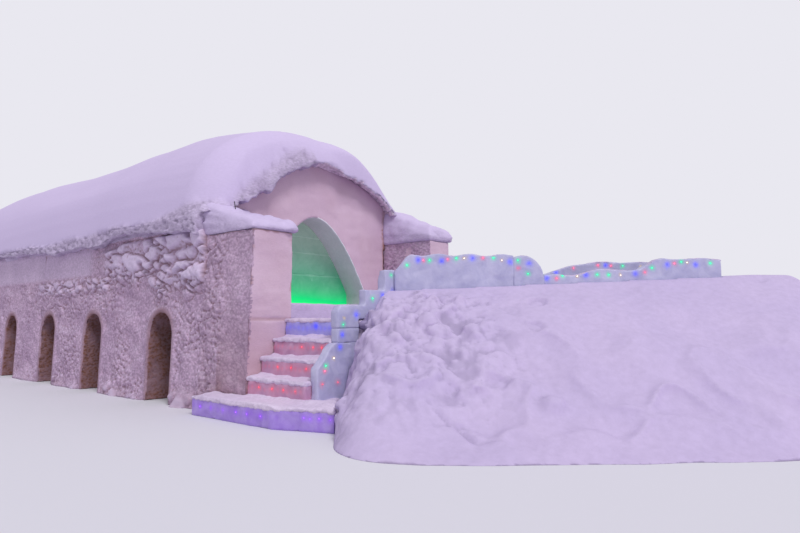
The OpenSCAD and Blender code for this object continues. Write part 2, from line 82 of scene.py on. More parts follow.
# Takes points and their outward normals, or faces' middles and normals, one row each. Gives one number for
# each: a height along the normal, a share from 0 to 1, or a yes or no. Some give a vector for each instead.
Move = Callable[[Points, Points], Points]
Spot = tuple[float, float, float]
Pair = tuple[float, float]
Limits = tuple[float, float, float, float]
BODY = "root"
ICE_IOR = 1.31
# What a pattern keeps of a place: X and Y, Y and Z, X alone or Y alone.
PLAN, FACE, ACROSS, ALONG = (1, 1, 0), (0, 1, 1), (1, 0, 0), (0, 1, 0)
# Merge distance of a solid's loose triangles, and how near a plane a point counts as on it.
MERGE, TOUCH = 0.0002, 0.001


def linear(code: str) -> Rgba:
    """Turns an sRGB hex code into linear colour.

    Args:
        code: six hex digits after a hash sign.

    Returns:
        Red, green, blue and an alpha of one.
    """
    parts = [int(code[i:i + 2], 16) / 255 for i in (1, 3, 5)]
    red, green, blue = (p / 12.92 if p <= 0.04045 else ((p + 0.055) / 1.055) ** 2.4 for p in parts)
    return red, green, blue, 1.0


def ramp(values: Points, low: float, high: float) -> Points:
    """Smooth step of values from 0 at low to 1 at high; low may be above high."""
    share = np.clip((values - low) / (high - low), 0.0, 1.0)
    return share * share * (3.0 - 2.0 * share)


def band(values: Points, limits: Limits) -> Points:
    """Rises from 0 to 1 between the first two limits and falls back to 0 between the last two."""
    return ramp(values, limits[0], limits[1]) * ramp(values, limits[3], limits[2])


class Recipe:
    """A node tree under work, with short ways to add the nodes that the finishes and shapes use most."""

    def __init__(self, tree: Tree) -> None:
        """Takes up a tree."""
        self.tree = tree

    def feed(self, node: Node, feeds: dict) -> None:
        """Links or sets a node's inputs.

        Args:
            node: the node.
            feeds: input name or number to a socket or a plain value.
        """
        for key, value in feeds.items():
            if isinstance(value, Socket):
                self.tree.links.new(value, node.inputs[key])
            else:
                node.inputs[key].default_value = value

    def add(self, kind: str, feeds: dict | None = None, **settings: object) -> bpy.types.NodeOutputs:
        """Adds a node.

        Args:
            kind: the node's type name.
            feeds: the node's inputs, as in feed.
            settings: properties of the node itself.

        Returns:
            The new node's output sockets.
        """
        made = self.tree.nodes.new(kind)
        for key, value in settings.items():
            setattr(made, key, value)
        self.feed(made, feeds or {})
        return made.outputs

    def noise(self, at: Socket, size_mm: float, detail: float, **more: float) -> Socket:
        """Adds noise of a size over places, with more of its inputs by name, and returns its value."""
        feeds = {"Vector": at, "Scale": 1000 / size_mm, "Detail": detail, **more}
        return self.add("ShaderNodeTexNoise", feeds)[0]

    def span(self, value: Socket, old: Pair = (0.0, 1.0), new: Pair = (0.0, 1.0)) -> Socket:
        """Maps a value from its old limits to new ones and returns the result."""
        return self.add("ShaderNodeMapRange", {0: value, **dict(enumerate(old + new, 1))})[0]

    def mix(self, share: Socket, none: Rgba | Socket, full: Rgba | Socket) -> Socket:
        """Mixes two colours by a share and returns the result."""
        return self.add("ShaderNodeMix", {0: share, 6: none, 7: full}, data_type="RGBA")[2]

    def value(self, operation: str, *values: Socket | float, **settings: object) -> Socket:
        """Reckons with up to three values and returns the result."""
        return self.add("ShaderNodeMath", dict(enumerate(values)), operation=operation, **settings)[0]

    def vector(self, operation: str, *values: Socket | Spot) -> bpy.types.NodeOutputs:
        """Reckons with up to three vectors and returns the results."""
        return self.add("ShaderNodeVectorMath", dict(enumerate(values)), operation=operation)

    def scaled(self, vector: Socket, factor: Socket) -> Socket:
        """Returns a vector or colour times a factor."""
        return self.add("ShaderNodeVectorMath", {0: vector, 3: factor}, operation="SCALE")[0]

    def told(self, name: str, output: str = "Fac") -> Socket:
        """Returns what the mesh has stored under a name."""
        return self.add("ShaderNodeAttribute", attribute_name=name)[output]

    def bump(self, height: Socket, strength: Socket | float, depth: float) -> Socket:
        """Returns the surface's normal with a relief of that depth in metres."""
        return self.add("ShaderNodeBump", {"Height": height, "Strength": strength, "Distance": depth})[0]

    def roughened(self, shape: Socket, amount: Socket, scale: float, detail: float) -> Socket:
        """Moves a shape's points by noise.

        Args:
            shape: the shape's socket.
            amount: the socket of how far the points move, in metres.
            scale: waves in a metre.
            detail: how many finer layers the noise has.

        Returns:
            The socket of the moved shape.
        """
        spot = self.add("GeometryNodeInputPosition")[0]
        waves = self.add("ShaderNodeTexNoise", {"Vector": spot, "Scale": scale, "Detail": detail})["Color"]
        offset = self.scaled(self.vector("SUBTRACT", waves, (0.5, 0.5, 0.5))[0], amount)
        return self.add("GeometryNodeSetPosition", {"Geometry": shape, "Offset": offset})[0]

    def close(self, shape: Socket, finish: Socket) -> Tree:
        """Ends a geometry node tree: its instances made real and dressed.

        Args:
            shape: the socket of what the tree has made.
            finish: the socket of its finish.

        Returns:
            The tree.
        """
        real = self.add("GeometryNodeRealizeInstances", {"Geometry": shape})[0]
        dressed = self.add("GeometryNodeSetMaterial", {"Geometry": real, "Material": finish})[0]
        self.add("NodeGroupOutput", {0: dressed})
        return self.tree


def started(name: str) -> tuple[Material, Recipe, Node]:
    """Starts a node material.

    Args:
        name: the finish's name.

    Returns:
        The material, its recipe and its shader.
    """
    made = bpy.data.materials.new(name)
    made.use_nodes = True
    return made, Recipe(made.node_tree), made.node_tree.nodes["Principled BSDF"]


# ---------------------------------------------------------------- finishes


@dataclass(frozen=True)
class SnowFinish:
    """Old snow, shaped by hand and blown over: pale, dull and grainy, whiter where fresh snow has settled and,
    as painted sky light, on upward faces, with painted shade in its creases.
    """

    name: str
    light: str
    shade: str
    fresh: str = "#cfc3e0"
    # The stain colour goes where the stain values say: real stains, and also painted shade in creases and
    # painted warm light in the doorways.
    stain: str = "#8c6c52"
    patch_mm: float = 900.0
    clod_mm: float = 60.0
    crumb_mm: float = 45.0
    grain_mm: float = 9.0
    relief_mm: float = 6.0
    crumbs: float = 0.0
    # Dark and bright scale the colour in the creases and on the crowns: painted shade and a faint painted
    # highlight.
    dark: float = 0.94
    bright: float = 1.03
    crease: Pair = (0.28, 0.66)
    patch_span: Pair = (0.35, 0.65)
    layers: float = 1.0
    # Settled and ledge slope set how much fresh colour upward faces take: partly settled snow, partly painted
    # sky light on their tops.
    settled: float = 0.5
    ledge_slope: float = 0.7
    calmest: float = 0.15
    grain_share: float = 0.2
    roughness: float = 0.9
    gloss: float = 0.3

    def build(self) -> Material:
        """Returns the finish as a node material, which reads the piece's own stain values, with their painted
        shade and light, and its fresh values.
        """
        made, tree, shader = started(self.name)
        here = tree.add("ShaderNodeTexCoord")["Object"]
        level = tree.vector("MULTIPLY", here, (1.0, 1.0, self.layers))[0]
        patch = tree.noise(here, self.patch_mm, 4.0)
        clod = tree.noise(level, self.clod_mm, 5.0, Roughness=0.62)
        crumb = tree.add("ShaderNodeTexVoronoi", {"Vector": level, "Scale": 1000 / self.crumb_mm},
                         feature="SMOOTH_F1")["Distance"]
        grain = tree.noise(level, self.grain_mm, 2.0)
        packed = tree.value("MULTIPLY_ADD", crumb, -self.crumbs, clod)
        # The snow's own tone in broad patches, whiter where it is marked fresh and on upward-facing ledges; on
        # ledges this is partly settled snow and partly painted sky light on the tops.
        tone = tree.mix(tree.span(patch, self.patch_span), linear(self.light), linear(self.shade))
        facing = tree.add("ShaderNodeSeparateXYZ", {0: tree.add("ShaderNodeNewGeometry")["Normal"]})["Z"]
        skylit_ledge = tree.span(facing, (0.0, self.ledge_slope), (0.0, self.settled))
        clean = tree.told("fresh")
        dusted_and_skylit = tree.mix(tree.value("MAXIMUM", skylit_ledge, clean), tone, linear(self.fresh))
        # Painted shade: creases between crumbs are darkened and crowns faintly lightened, but hardly so where
        # the snow is fresh.
        crease_shading = tree.span(packed, self.crease, (self.dark, self.bright))
        calm = tree.span(clean, new=(1.0, self.calmest))
        change = tree.value("SUBTRACT", crease_shading, 1.0)
        eased = tree.value("MULTIPLY_ADD", change, calm, 1.0)
        crease_shaded = tree.scaled(dusted_and_skylit, eased)
        # The stain values lay on the stain colour: real stains, painted shade and painted warm light alike.
        ragged = tree.value("MULTIPLY", tree.told("stain"), crease_shading, use_clamp=True)
        stained_and_shaded = tree.mix(ragged, crease_shaded, linear(self.stain))
        relief = tree.value("MULTIPLY_ADD", grain, self.grain_share, packed)
        tree.feed(shader, {"Base Color": stained_and_shaded, "Normal": tree.bump(relief, calm, self.relief_mm / 1000),
                           "Roughness": self.roughness, "IOR": ICE_IOR, "Specular IOR Level": self.gloss})
        return made


@dataclass(frozen=True)
class IceFinish:
    """River ice sawn into blocks and brushed with wet snow: cloudy, and lit by what is frozen into it."""

    name: str
    body: str
    cloud: str
    clear: float = 0.35
    roughness: float = 0.3
    cloud_mm: float = 260.0
    cloud_span: Pair = (0.36, 0.66)
    ripple_mm: float = 70.0
    ripple_depth: float = 0.006
    wet: Pair = (-0.08, 0.16)
    glow: float = 1.0
    tint: float = 1.1
    least: float = 0.04

    def build(self) -> Material:
        """Returns the finish as a node material, lit by the piece's own glow attribute."""
        made, tree, shader = started(self.name)
        here = tree.add("ShaderNodeTexCoord")["Object"]
        cloud = tree.noise(here, self.cloud_mm, 5.0, Roughness=0.6, Distortion=0.6)
        ripple = tree.noise(here, self.ripple_mm, 3.0)
        tone = tree.mix(tree.span(cloud, self.cloud_span), linear(self.body), linear(self.cloud))
        lit = tree.told("glow", "Color")
        wet = tree.span(ripple, new=(self.roughness + self.wet[0], self.roughness + self.wet[1]))
        bump = tree.bump(ripple, 0.8, self.ripple_depth)
        # Where coloured light fills the ice, its body keeps only that colour.
        strength = tree.vector("DOT_PRODUCT", lit, (1.0,) * 3)["Value"]
        lack = tree.vector("SUBTRACT", strength, lit)[0]
        share = tree.vector("MULTIPLY_ADD", lack, (-self.tint,) * 3, (1.0,) * 3)[0]
        passed = tree.vector("MAXIMUM", share, (self.least,) * 3)[0]
        tinted = tree.vector("MULTIPLY", tone, passed)[0]
        tree.feed(shader, {"Base Color": tinted, "Emission Color": lit, "Roughness": wet, "Normal": bump,
                           "IOR": ICE_IOR, "Emission Strength": self.glow, "Transmission Weight": self.clear})
        return made


@dataclass(frozen=True)
class PlainFinish:
    """Small hard pieces: a painted rod or a light point's clear cap."""

    name: str
    colour: str
    roughness: float = 0.5
    glow: float = 0.0
    mottles: float = 90.0
    uneven: float = 0.1

    def build(self) -> Material:
        """Returns the finish as a node material with a slight mottle."""
        made, tree, shader = started(self.name)
        here = tree.add("ShaderNodeTexCoord")["Object"]
        mottle = tree.add("ShaderNodeTexNoise", {"Vector": here, "Scale": self.mottles, "Detail": 2.0})[0]
        marks = tree.span(mottle, new=(self.roughness - self.uneven, self.roughness + self.uneven))
        tree.feed(shader, {"Base Color": linear(self.colour), "Roughness": marks,
                           "Emission Color": linear(self.colour), "Emission Strength": self.glow})
        return made


class LightTone(Enum):
    """Light points frozen into the ice: colour, how far their light spreads in metres, and its strength."""

    BLUE = ("#4048ff", 0.036, 0.55)
    PINK = ("#ff6a8c", 0.024, 0.60)
    GREEN = ("#2ce89a", 0.028, 0.65)
    WARM = ("#ffe9cf", 0.017, 0.75)
    VIOLET = ("#a25cf4", 0.034, 0.34)
    RED = ("#ff4450", 0.026, 0.34)

    def __init__(self, colour: str, reach: float, strength: float) -> None:
        """Keeps the three values under their names."""
        self.colour, self.reach, self.strength = colour, reach, strength


# The lilac of the snow, bluer on the roof and bank and warmer on the walls and gable, and the blue-lilac of the
# rail ice are painted dusk light on white snow and milky ice.
class Finishes:
    """All finishes of the building, each built once."""

    def __init__(self) -> None:
        """Builds the materials."""
        # Blown wall snow: crumbs of 4 to 6 cm with painted grey-lilac shade in their creases, so the wall reads
        # rough from afar; its brown stain colour also paints warm light and shade into the doorways.
        self.wall = SnowFinish("blown_wall_snow", "#d2b6d1", "#bfa3c0", fresh="#d6c6e2", stain="#7c554b",
                               crumb_mm=62.0, relief_mm=16.0, crumbs=0.6, dark=0.72, crease=(0.12, 0.40),
                               layers=1.4).build()
        # Trowelled snow: a warmer, closed skin with faint level lines where the layers were cast; its warmth is
        # painted dusk light, and its stain colour also paints shade into creases and the crevice by the right
        # cheek.
        self.smooth = SnowFinish("trowelled_gable_snow", "#dcc1d5", "#d1b5cb", stain="#9c6c5a", clod_mm=45.0,
                                 relief_mm=5.0, dark=0.92, layers=3.5, settled=0.3).build()
        # Arch reveal: smooth snow in a near-white grey, a painted light that lifts the recessed reveal out of
        # its shade.
        self.reveal = SnowFinish("frosted_arch_snow", "#ebe3ea", "#dcd8de", relief_mm=3.0).build()
        # Drifted roof snow: smooth where it lies open, grainy and greyer where the eave and lip have broken;
        # its stain colour is painted shade in the creases.
        self.roof = SnowFinish("drifted_roof_snow", "#cdbedb", "#bfafcd", fresh="#cfc0e2", stain="#7d6f86",
                               patch_mm=700.0, crumb_mm=66.0, relief_mm=14.0, crumbs=0.5, dark=0.80,
                               crease=(0.12, 0.44), layers=2.0, settled=0.5).build()
        # Soffit snow under the lip and the eaves: near-white grain, a painted light that lifts the soffit out
        # of its shade; its stain colour is painted shade in creases.
        self.sheltered = SnowFinish("sheltered_rime", "#eeddee", "#e2cfe4", fresh="#eeddee", stain="#8b7a88",
                                    crumb_mm=60.0, relief_mm=12.0, crumbs=0.5, dark=0.74,
                                    crease=(0.12, 0.44)).build()
        # Trodden snow on treads and landing: grey with the lilac of painted dusk light, with grains pressed in.
        self.trodden = SnowFinish("trodden_snow", "#ddcde3", "#cbbad6", fresh="#dacbe6", relief_mm=7.0,
                                  dark=0.86).build()
        # Shovelled bank snow: soft and bright, with a loose surface; its blue-grey stain colour is painted
        # shade between the lumps and in creases.
        self.bank = SnowFinish("shovelled_bank_snow", "#c4b3d7", "#baaad1", fresh="#c9bbdc", stain="#8b7f9f",
                               patch_mm=1300.0, clod_mm=110.0, relief_mm=8.0, dark=0.93).build()
        # Frost on the arch's edge: the palest line of the front.
        self.frost = SnowFinish("joint_frost", "#efe9f2", "#dcdfe6", fresh="#efe9f2", relief_mm=2.0).build()
        # Cloudy rail ice: milky blocks that carry the light strings, blue-lilac in painted dusk light.
        self.rail = IceFinish("cloudy_rail_ice", "#b6b4d8", "#cbc8e6", clear=0.12).build()
        # Screen blocks: grey-green ice with less cloud.
        self.screen = IceFinish("screen_block_ice", "#6a9a88", "#80a798", clear=0.04, tint=1.35).build()
        # Joint ice: refrozen slush between the screen's blocks, a little paler than they are.
        self.joint = IceFinish("screen_joint_ice", "#82ab9b", "#97b7aa", clear=0.04, tint=1.2).build()
        # Stair ice: each riser's body colour is painted light, the tint of its own light string.
        self.stair = {
            LightTone.VIOLET: IceFinish("violet_stair_ice", "#a488d6", "#b8a2e2", clear=0.08).build(),
            LightTone.RED: IceFinish("red_stair_ice", "#b78fb2", "#c8a6c6", clear=0.08).build(),
            LightTone.BLUE: IceFinish("blue_stair_ice", "#a79fde", "#bab4ea", clear=0.08).build(),
        }
        # Dark painted rod: a thin, dull stroke against the gable.
        self.rod = PlainFinish("dark_painted_rod", "#26232a").build()
        # Light points: small bright dots in the ice.
        self.lights = {tone: PlainFinish(f"light_point_{tone.name.lower()}", tone.colour, 0.3, 2.2).build()
                       for tone in LightTone}


# ---------------------------------------------------------------- snow shapes


@dataclass(frozen=True)
class SnowNoise:
    """Seeded noise over metres: soft swells, packed round clods and cracked slabs."""

    seed: int = 11
    primes: tuple[int, ...] = (73856093, 19349663, 83492791, 7919, 104729, 1274126177)
    far: float = 9.0

    def _hash(self, cell: Points, salt: int) -> Points:
        """Draws an even random number for each cell.

        Args:
            cell: whole-number places, one row each.
            salt: what sets one draw apart from another.

        Returns:
            Numbers from 0 to 1.
        """
        c = cell.astype(np.int64)
        px, py, pz, by_seed, by_salt, stir = self.primes
        mixed = c[:, 0] * px ^ c[:, 1] * py ^ c[:, 2] * pz ^ (self.seed * by_seed + salt * by_salt)
        mixed = (mixed ^ (mixed >> 13)) * stir & 0xFFFFFFFF
        mixed ^= mixed >> 16
        return (mixed & 0xFFFFFF) / float(0xFFFFFF)

    def _around(self, q: Points, salts: tuple[int, int, int]) -> Iterator[tuple[Points, Points]]:
        """Yields each neighbour cell of the points, and how far they lie from that cell's own random spot.

        Args:
            q: points, counted in cells.
            salts: what sets this pattern's spots apart from another's.
        """
        base = np.floor(q)
        for step in itertools.product((-1, 0, 1), repeat=3):
            cell = base + step
            yield cell, q - (cell + np.stack([self._hash(cell, salt) for salt in salts], axis=1))

    def swell(self, at: Points, size: float, layers: int = 1) -> Points:
        """Soft noise.

        Args:
            at: points, one row each.
            size: width of one swell.
            layers: how many times it is repeated at half the size and height.

        Returns:
            Heights from about -1 to 1.
        """
        total = np.zeros(len(at))
        for layer in range(layers):
            q = at * (2 ** layer / size) + 17.3 * layer
            base = np.floor(q)
            f = q - base
            w = f * f * f * (f * (f * 6 - 15) + 10)
            for corner in itertools.product((0, 1), repeat=3):
                share = np.prod([w[:, k] if corner[k] else 1 - w[:, k] for k in range(3)], axis=0)
                total += share * (self._hash(base + corner, layer) * 2 - 1) / 2 ** layer
        return total

    def clods(self, at: Points, size: float, fill: float = 0.75) -> Points:
        """Round clods packed side by side.

        Args:
            at: points, one row each.
            size: mean spacing of the clods.
            fill: reach of one clod, in spacings.

        Returns:
            Heights from 0 in the creases to 1 on the crowns.
        """
        nearest = np.full(len(at), self.far)
        for cell, away in self._around(at / size, (1, 2, 3)):
            reach = fill * (0.55 + 0.45 * self._hash(cell, 4))
            nearest = np.minimum(nearest, np.sum(away ** 2, axis=1) / reach ** 2)
        return np.sqrt(np.clip(1 - nearest, 0, 1))

    def slabs(self, at: Points, size: float, crack: float = 0.2) -> Points:
        """Flat-faced lumps packed side by side with narrow cracks between them.

        Args:
            at: points, one row each.
            size: mean spacing of the lumps.
            crack: how far a crack's side slopes, in spacings.

        Returns:
            Heights from 0 in the cracks to 1 on the highest lumps.
        """
        first, second, height = np.full(len(at), self.far), np.full(len(at), self.far), np.zeros(len(at))
        for cell, away in self._around(at / size, (5, 6, 7)):
            gap = np.sqrt(np.sum(away ** 2, axis=1))
            closer = gap < first
            second = np.where(closer, first, np.minimum(second, gap))
            height = np.where(closer, self._hash(cell, 8), height)
            first = np.minimum(first, gap)
        return ramp(second - first, 0.0, crack) * (0.45 + 0.55 * height) * (1 - 0.25 * first)


NOISE = SnowNoise()


def read(items: bpy.types.bpy_prop_collection, key: str, width: int = 3, kind: type = float) -> Points:
    """Returns one row of numbers for each of a mesh's points, edges or faces.

    Args:
        items: the points, edges or faces.
        key: name of the value that is read.
        width: how many numbers it has.
        kind: type of the numbers.
    """
    values = np.empty(len(items) * width, kind)
    items.foreach_get(key, values)
    return values.reshape(-1, width)


def mesh_points(mesh: Mesh) -> tuple[Points, Points]:
    """Returns the mesh's points and their outward normals, one row each."""
    return read(mesh.vertices, "co"), read(mesh.vertices, "normal")


def put_points(mesh: Mesh, at: Points) -> None:
    """Moves the mesh's points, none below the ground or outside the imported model's box."""
    low, high = np.array(CAD_BOX[0]), np.array(CAD_BOX[1])
    mesh.vertices.foreach_set("co", np.clip(at, low, high).ravel())
    mesh.update()


def put_values(mesh: Mesh, name: str, values: Points) -> None:
    """Stores one number or one colour for each point of the mesh.

    Args:
        mesh: the mesh.
        name: the attribute's name, which the finishes read.
        values: one number a point, or one row of red, green and blue.
    """
    if values.ndim == 1:
        mesh.attributes.new(name, "FLOAT", "POINT").data.foreach_set("value", values)
        return
    full = np.column_stack([values, np.ones(len(values))])
    mesh.attributes.new(name, "FLOAT_COLOR", "POINT").data.foreach_set("color", full.ravel())


# How steeply the snow rises round a point before it counts as a crease, and as a sharp one.
HOLLOW_SPAN = (0.03, 0.20)


def hollows(mesh: Mesh) -> Points:
    """Finds the creases of a mesh.

    Args:
        mesh: the mesh.

    Returns:
        One number for each point, 0 on open snow and 1 in a sharp crease.
    """
    at, out = mesh_points(mesh)
    here, there = read(mesh.edges, "vertices", 2, np.int32).T
    step = at[there] - at[here]
    step /= np.linalg.norm(step, axis=1)[:, None] + 1e-9
    size = len(at)
    count = np.maximum(np.bincount(here, minlength=size) + np.bincount(there, minlength=size), 1)
    rise = (np.bincount(here, np.sum(step * out[here], axis=1), size)
            - np.bincount(there, np.sum(step * out[there], axis=1), size)) / count
    around = (np.bincount(here, rise[there], size) + np.bincount(there, rise[here], size)) / count
    return ramp(0.5 * rise + 0.5 * around, *HOLLOW_SPAN)


def linked(name: str, data: bpy.types.ID) -> Piece:
    """Puts a mesh, camera or light into the scene as an object at the origin."""
    made = bpy.data.objects.new(name, data)
    bpy.context.scene.collection.objects.link(made)
    return made


def clothe(mesh: Mesh, material: Material) -> None:
    """Makes a finish the mesh's only one."""
    mesh.materials.clear()
    mesh.materials.append(material)


def place(mesh: Mesh, name: str, material: Material) -> Piece:
    """Puts a mesh into the scene as an object at the origin, in one material."""
    clothe(mesh, material)
    return linked(name, mesh)


def closed(work: bmesh.types.BMesh, mesh: Mesh) -> Mesh:
    """Turns the faces of a closed mesh under work outwards and stores it.

    Args:
        work: the mesh under work, which is used up.
        mesh: the mesh that it is stored in.

    Returns:
        That mesh.
    """
    bmesh.ops.recalc_face_normals(work, faces=work.faces)
    work.to_mesh(mesh)
    work.free()
    mesh.update()
    return mesh


def baked(holder: Piece, name: str) -> Mesh:
    """Turns an object with live modifiers into a plain mesh and removes the object.

    Args:
        holder: the object to evaluate.
        name: name of the new mesh.

    Returns:
        The evaluated mesh.
    """
    bpy.context.view_layer.update()
    seen = holder.evaluated_get(bpy.context.evaluated_depsgraph_get())
    mesh = bpy.data.meshes.new_from_object(seen)
    mesh.name = name
    old = holder.data
    bpy.data.objects.remove(holder)
    bpy.data.meshes.remove(old)
    return mesh


def fused(name: str, sources: Sequence[Mesh], voxel: float, open_y: float | None = None,
          soften: int = 2, grow: float = 0.0) -> Mesh:
    """Fuses closed meshes into one even skin.

    Args:
        name: name of the mesh.
        sources: the closed meshes.
        voxel: spacing of the skin's points.
        open_y: a plane across Y where two solids meet, whose faces are left out so that they join.
        soften: rounds of smoothing.
        grow: how far the meshes' points move outwards first.

    Returns:
        The new mesh.
    """
    work = bmesh.new()
    for source in sources:
        work.from_mesh(source)
    bmesh.ops.remove_doubles(work, verts=work.verts, dist=MERGE)
    if open_y is not None:
        inner = [f for f in work.faces if all(abs(v.co.y - open_y) < TOUCH for v in f.verts)]
        bmesh.ops.delete(work, geom=inner, context="FACES")
    if grow:
        work.normal_update()
        for vert in work.verts:
            vert.co += vert.normal * grow
    raw = bpy.data.meshes.new(name)
    work.to_mesh(raw)
    work.free()
    holder = linked(name, raw)
    even = holder.modifiers.new("even", "REMESH")
    even.mode = "VOXEL"
    even.voxel_size = voxel
    if soften:
        soft = holder.modifiers.new("soft", "SMOOTH")
        soft.factor = 0.5
        soft.iterations = soften
    return baked(holder, name)


def cut_level(mesh: Mesh) -> None:
    """Cuts off what lies below the ground and closes the mesh with a flat underside.

    Args:
        mesh: the mesh, which is changed.
    """
    work = bmesh.new()
    work.from_mesh(mesh)
    parts = work.verts[:] + work.edges[:] + work.faces[:]
    bmesh.ops.bisect_plane(work, geom=parts, dist=TOUCH / 2, plane_co=(0, 0, TOUCH), plane_no=(0, 0, 1),
                           clear_inner=True)
    rim = [edge for edge in work.edges if edge.is_boundary]
    bmesh.ops.triangle_fill(work, edges=rim, use_beauty=True)
    closed(work, mesh)


def thinned(mesh: Mesh, share: float, spare: Points | None = None) -> Mesh:
    """Thins a mesh out where its surface is flat.

    Args:
        mesh: the mesh, which is used up.
        share: share of the triangles that stay.
        spare: which points are left as fine as they are, if any.

    Returns:
        The thinner mesh.
    """
    holder = linked(mesh.name, mesh)
    fewer = holder.modifiers.new("fewer", "DECIMATE")
    fewer.ratio = share
    if spare is not None:
        group = holder.vertex_groups.new(name="open")
        group.add(np.flatnonzero(~spare).tolist(), 1.0, "REPLACE")
        fewer.vertex_group = group.name
    return baked(holder, mesh.name)


@dataclass
class Mass:
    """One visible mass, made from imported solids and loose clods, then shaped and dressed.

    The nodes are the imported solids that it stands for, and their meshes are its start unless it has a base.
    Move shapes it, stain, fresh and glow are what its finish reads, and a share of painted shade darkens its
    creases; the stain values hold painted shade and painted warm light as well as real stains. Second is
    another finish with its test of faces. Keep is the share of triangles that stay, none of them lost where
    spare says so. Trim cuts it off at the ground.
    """

    name: str
    nodes: tuple[str, ...]
    material: Material
    slot: str
    voxel: float
    move: Move
    stain: Move | None = None
    fresh: Move | None = None
    glow: Callable[[Points], Points] | None = None
    extra: tuple[Mesh, ...] = ()
    base: Mesh | None = None
    open_y: float | None = None
    soften: int = 2
    keep: float = 1.0
    grow: float = 0.0
    second: tuple[Material, Move] | None = None
    spare: Move | None = None
    pit_shade: float = 0.0
    trim: bool = False

    def dress(self, made: Piece) -> None:
        """Gives the faces that the second finish's test picks that finish.

        Args:
            made: the mass's object.
        """
        finish, picks = self.second
        made.data.materials.append(finish)
        faces = made.data.polygons
        chosen = picks(read(faces, "center"), read(faces, "normal"))
        faces.foreach_set("material_index", chosen.astype(np.int32))

    def build(self) -> Piece:
        """Builds, dresses and mounts the mass.

        Returns:
            The finished piece.
        """
        own = (self.base,) if self.base else tuple(frame["nodes"][n].data for n in self.nodes)
        mesh = fused(self.name, own + self.extra, self.voxel, self.open_y, self.soften, self.grow)
        for used in (*self.extra, self.base):
            if used is not None:
                bpy.data.meshes.remove(used)
        at, out = mesh_points(mesh)
        shift = self.move(at, out)
        moved = at + (shift if shift.ndim == 2 else out * shift[:, None])
        if self.trim:
            mesh.vertices.foreach_set("co", moved.ravel())
            cut_level(mesh)
            moved, _ = mesh_points(mesh)
        put_points(mesh, moved)
        if self.keep < 1.0:
            at, out = mesh_points(mesh)
            mesh = thinned(mesh, self.keep, self.spare(at, out) if self.spare else None)
        at, out = mesh_points(mesh)
        # Painted shade: creases are darkened through the stain values by the mass's share of crease shade.
        if self.stain is not None or self.pit_shade:
            stain_and_light = self.stain(at, out) if self.stain else np.zeros(len(at))
            put_values(mesh, "stain", np.maximum(stain_and_light, self.pit_shade * hollows(mesh)))
        if self.fresh is not None:
            put_values(mesh, "fresh", self.fresh(at, out))
        if self.glow is not None:
            put_values(mesh, "glow", self.glow(at))
        mesh.polygons.foreach_set("use_smooth", np.ones(len(mesh.polygons), bool))
        mesh.update()
        made = place(mesh, self.name, self.material)
        if self.second is not None:
            self.dress(made)
        return mount(made, self.slot, self.nodes)


def mount(made: Piece, slot: str, nodes: Sequence[str] = ()) -> Piece:
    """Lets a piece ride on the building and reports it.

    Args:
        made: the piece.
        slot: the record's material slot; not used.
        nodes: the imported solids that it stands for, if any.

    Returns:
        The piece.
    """
    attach(made, BODY)
    if nodes:
        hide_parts(*nodes)
    made.data.calc_loop_triangles()
    LOG.info("%s: %d triangles", made.name, len(made.data.loop_triangles))
    return made


# ---------------------------------------------------------------- node trees


def open_tree(name: str, **inputs: str) -> tuple[Recipe, bpy.types.NodeOutputs]:
    """Starts a geometry node tree.

    Args:
        name: the tree's name.
        inputs: each input's name, and the kind of its socket.

    Returns:
        The tree's recipe and the sockets that carry its inputs.
    """
    made = bpy.data.node_groups.new(name, "GeometryNodeTree")
    for key, kind in inputs.items():
        made.interface.new_socket(name=key, in_out="INPUT", socket_type=f"NodeSocket{kind}")
    made.interface.new_socket(name="Result", in_out="OUTPUT", socket_type="NodeSocketGeometry")
    recipe = Recipe(made)
    return recipe, recipe.add("NodeGroupInput")


def run_tree(tree: Tree, source: Mesh, name: str, **values: object) -> Mesh:
    """Runs a geometry node tree on a mesh.

    Args:
        tree: the node tree.
        source: the mesh, which is used up.
        name: the new mesh's name.
        values: the tree's inputs by name.

    Returns:
        What the tree makes, as a plain mesh.
    """
    holder = linked(name, source)
    live = holder.modifiers.new(tree.name, "NODES")
    live.node_group = tree
    ids = {item.name: item.identifier for item in tree.interface.items_tree if item.in_out == "INPUT"}
    for key, value in values.items():
        live[ids[key]] = value
    return baked(holder, name)


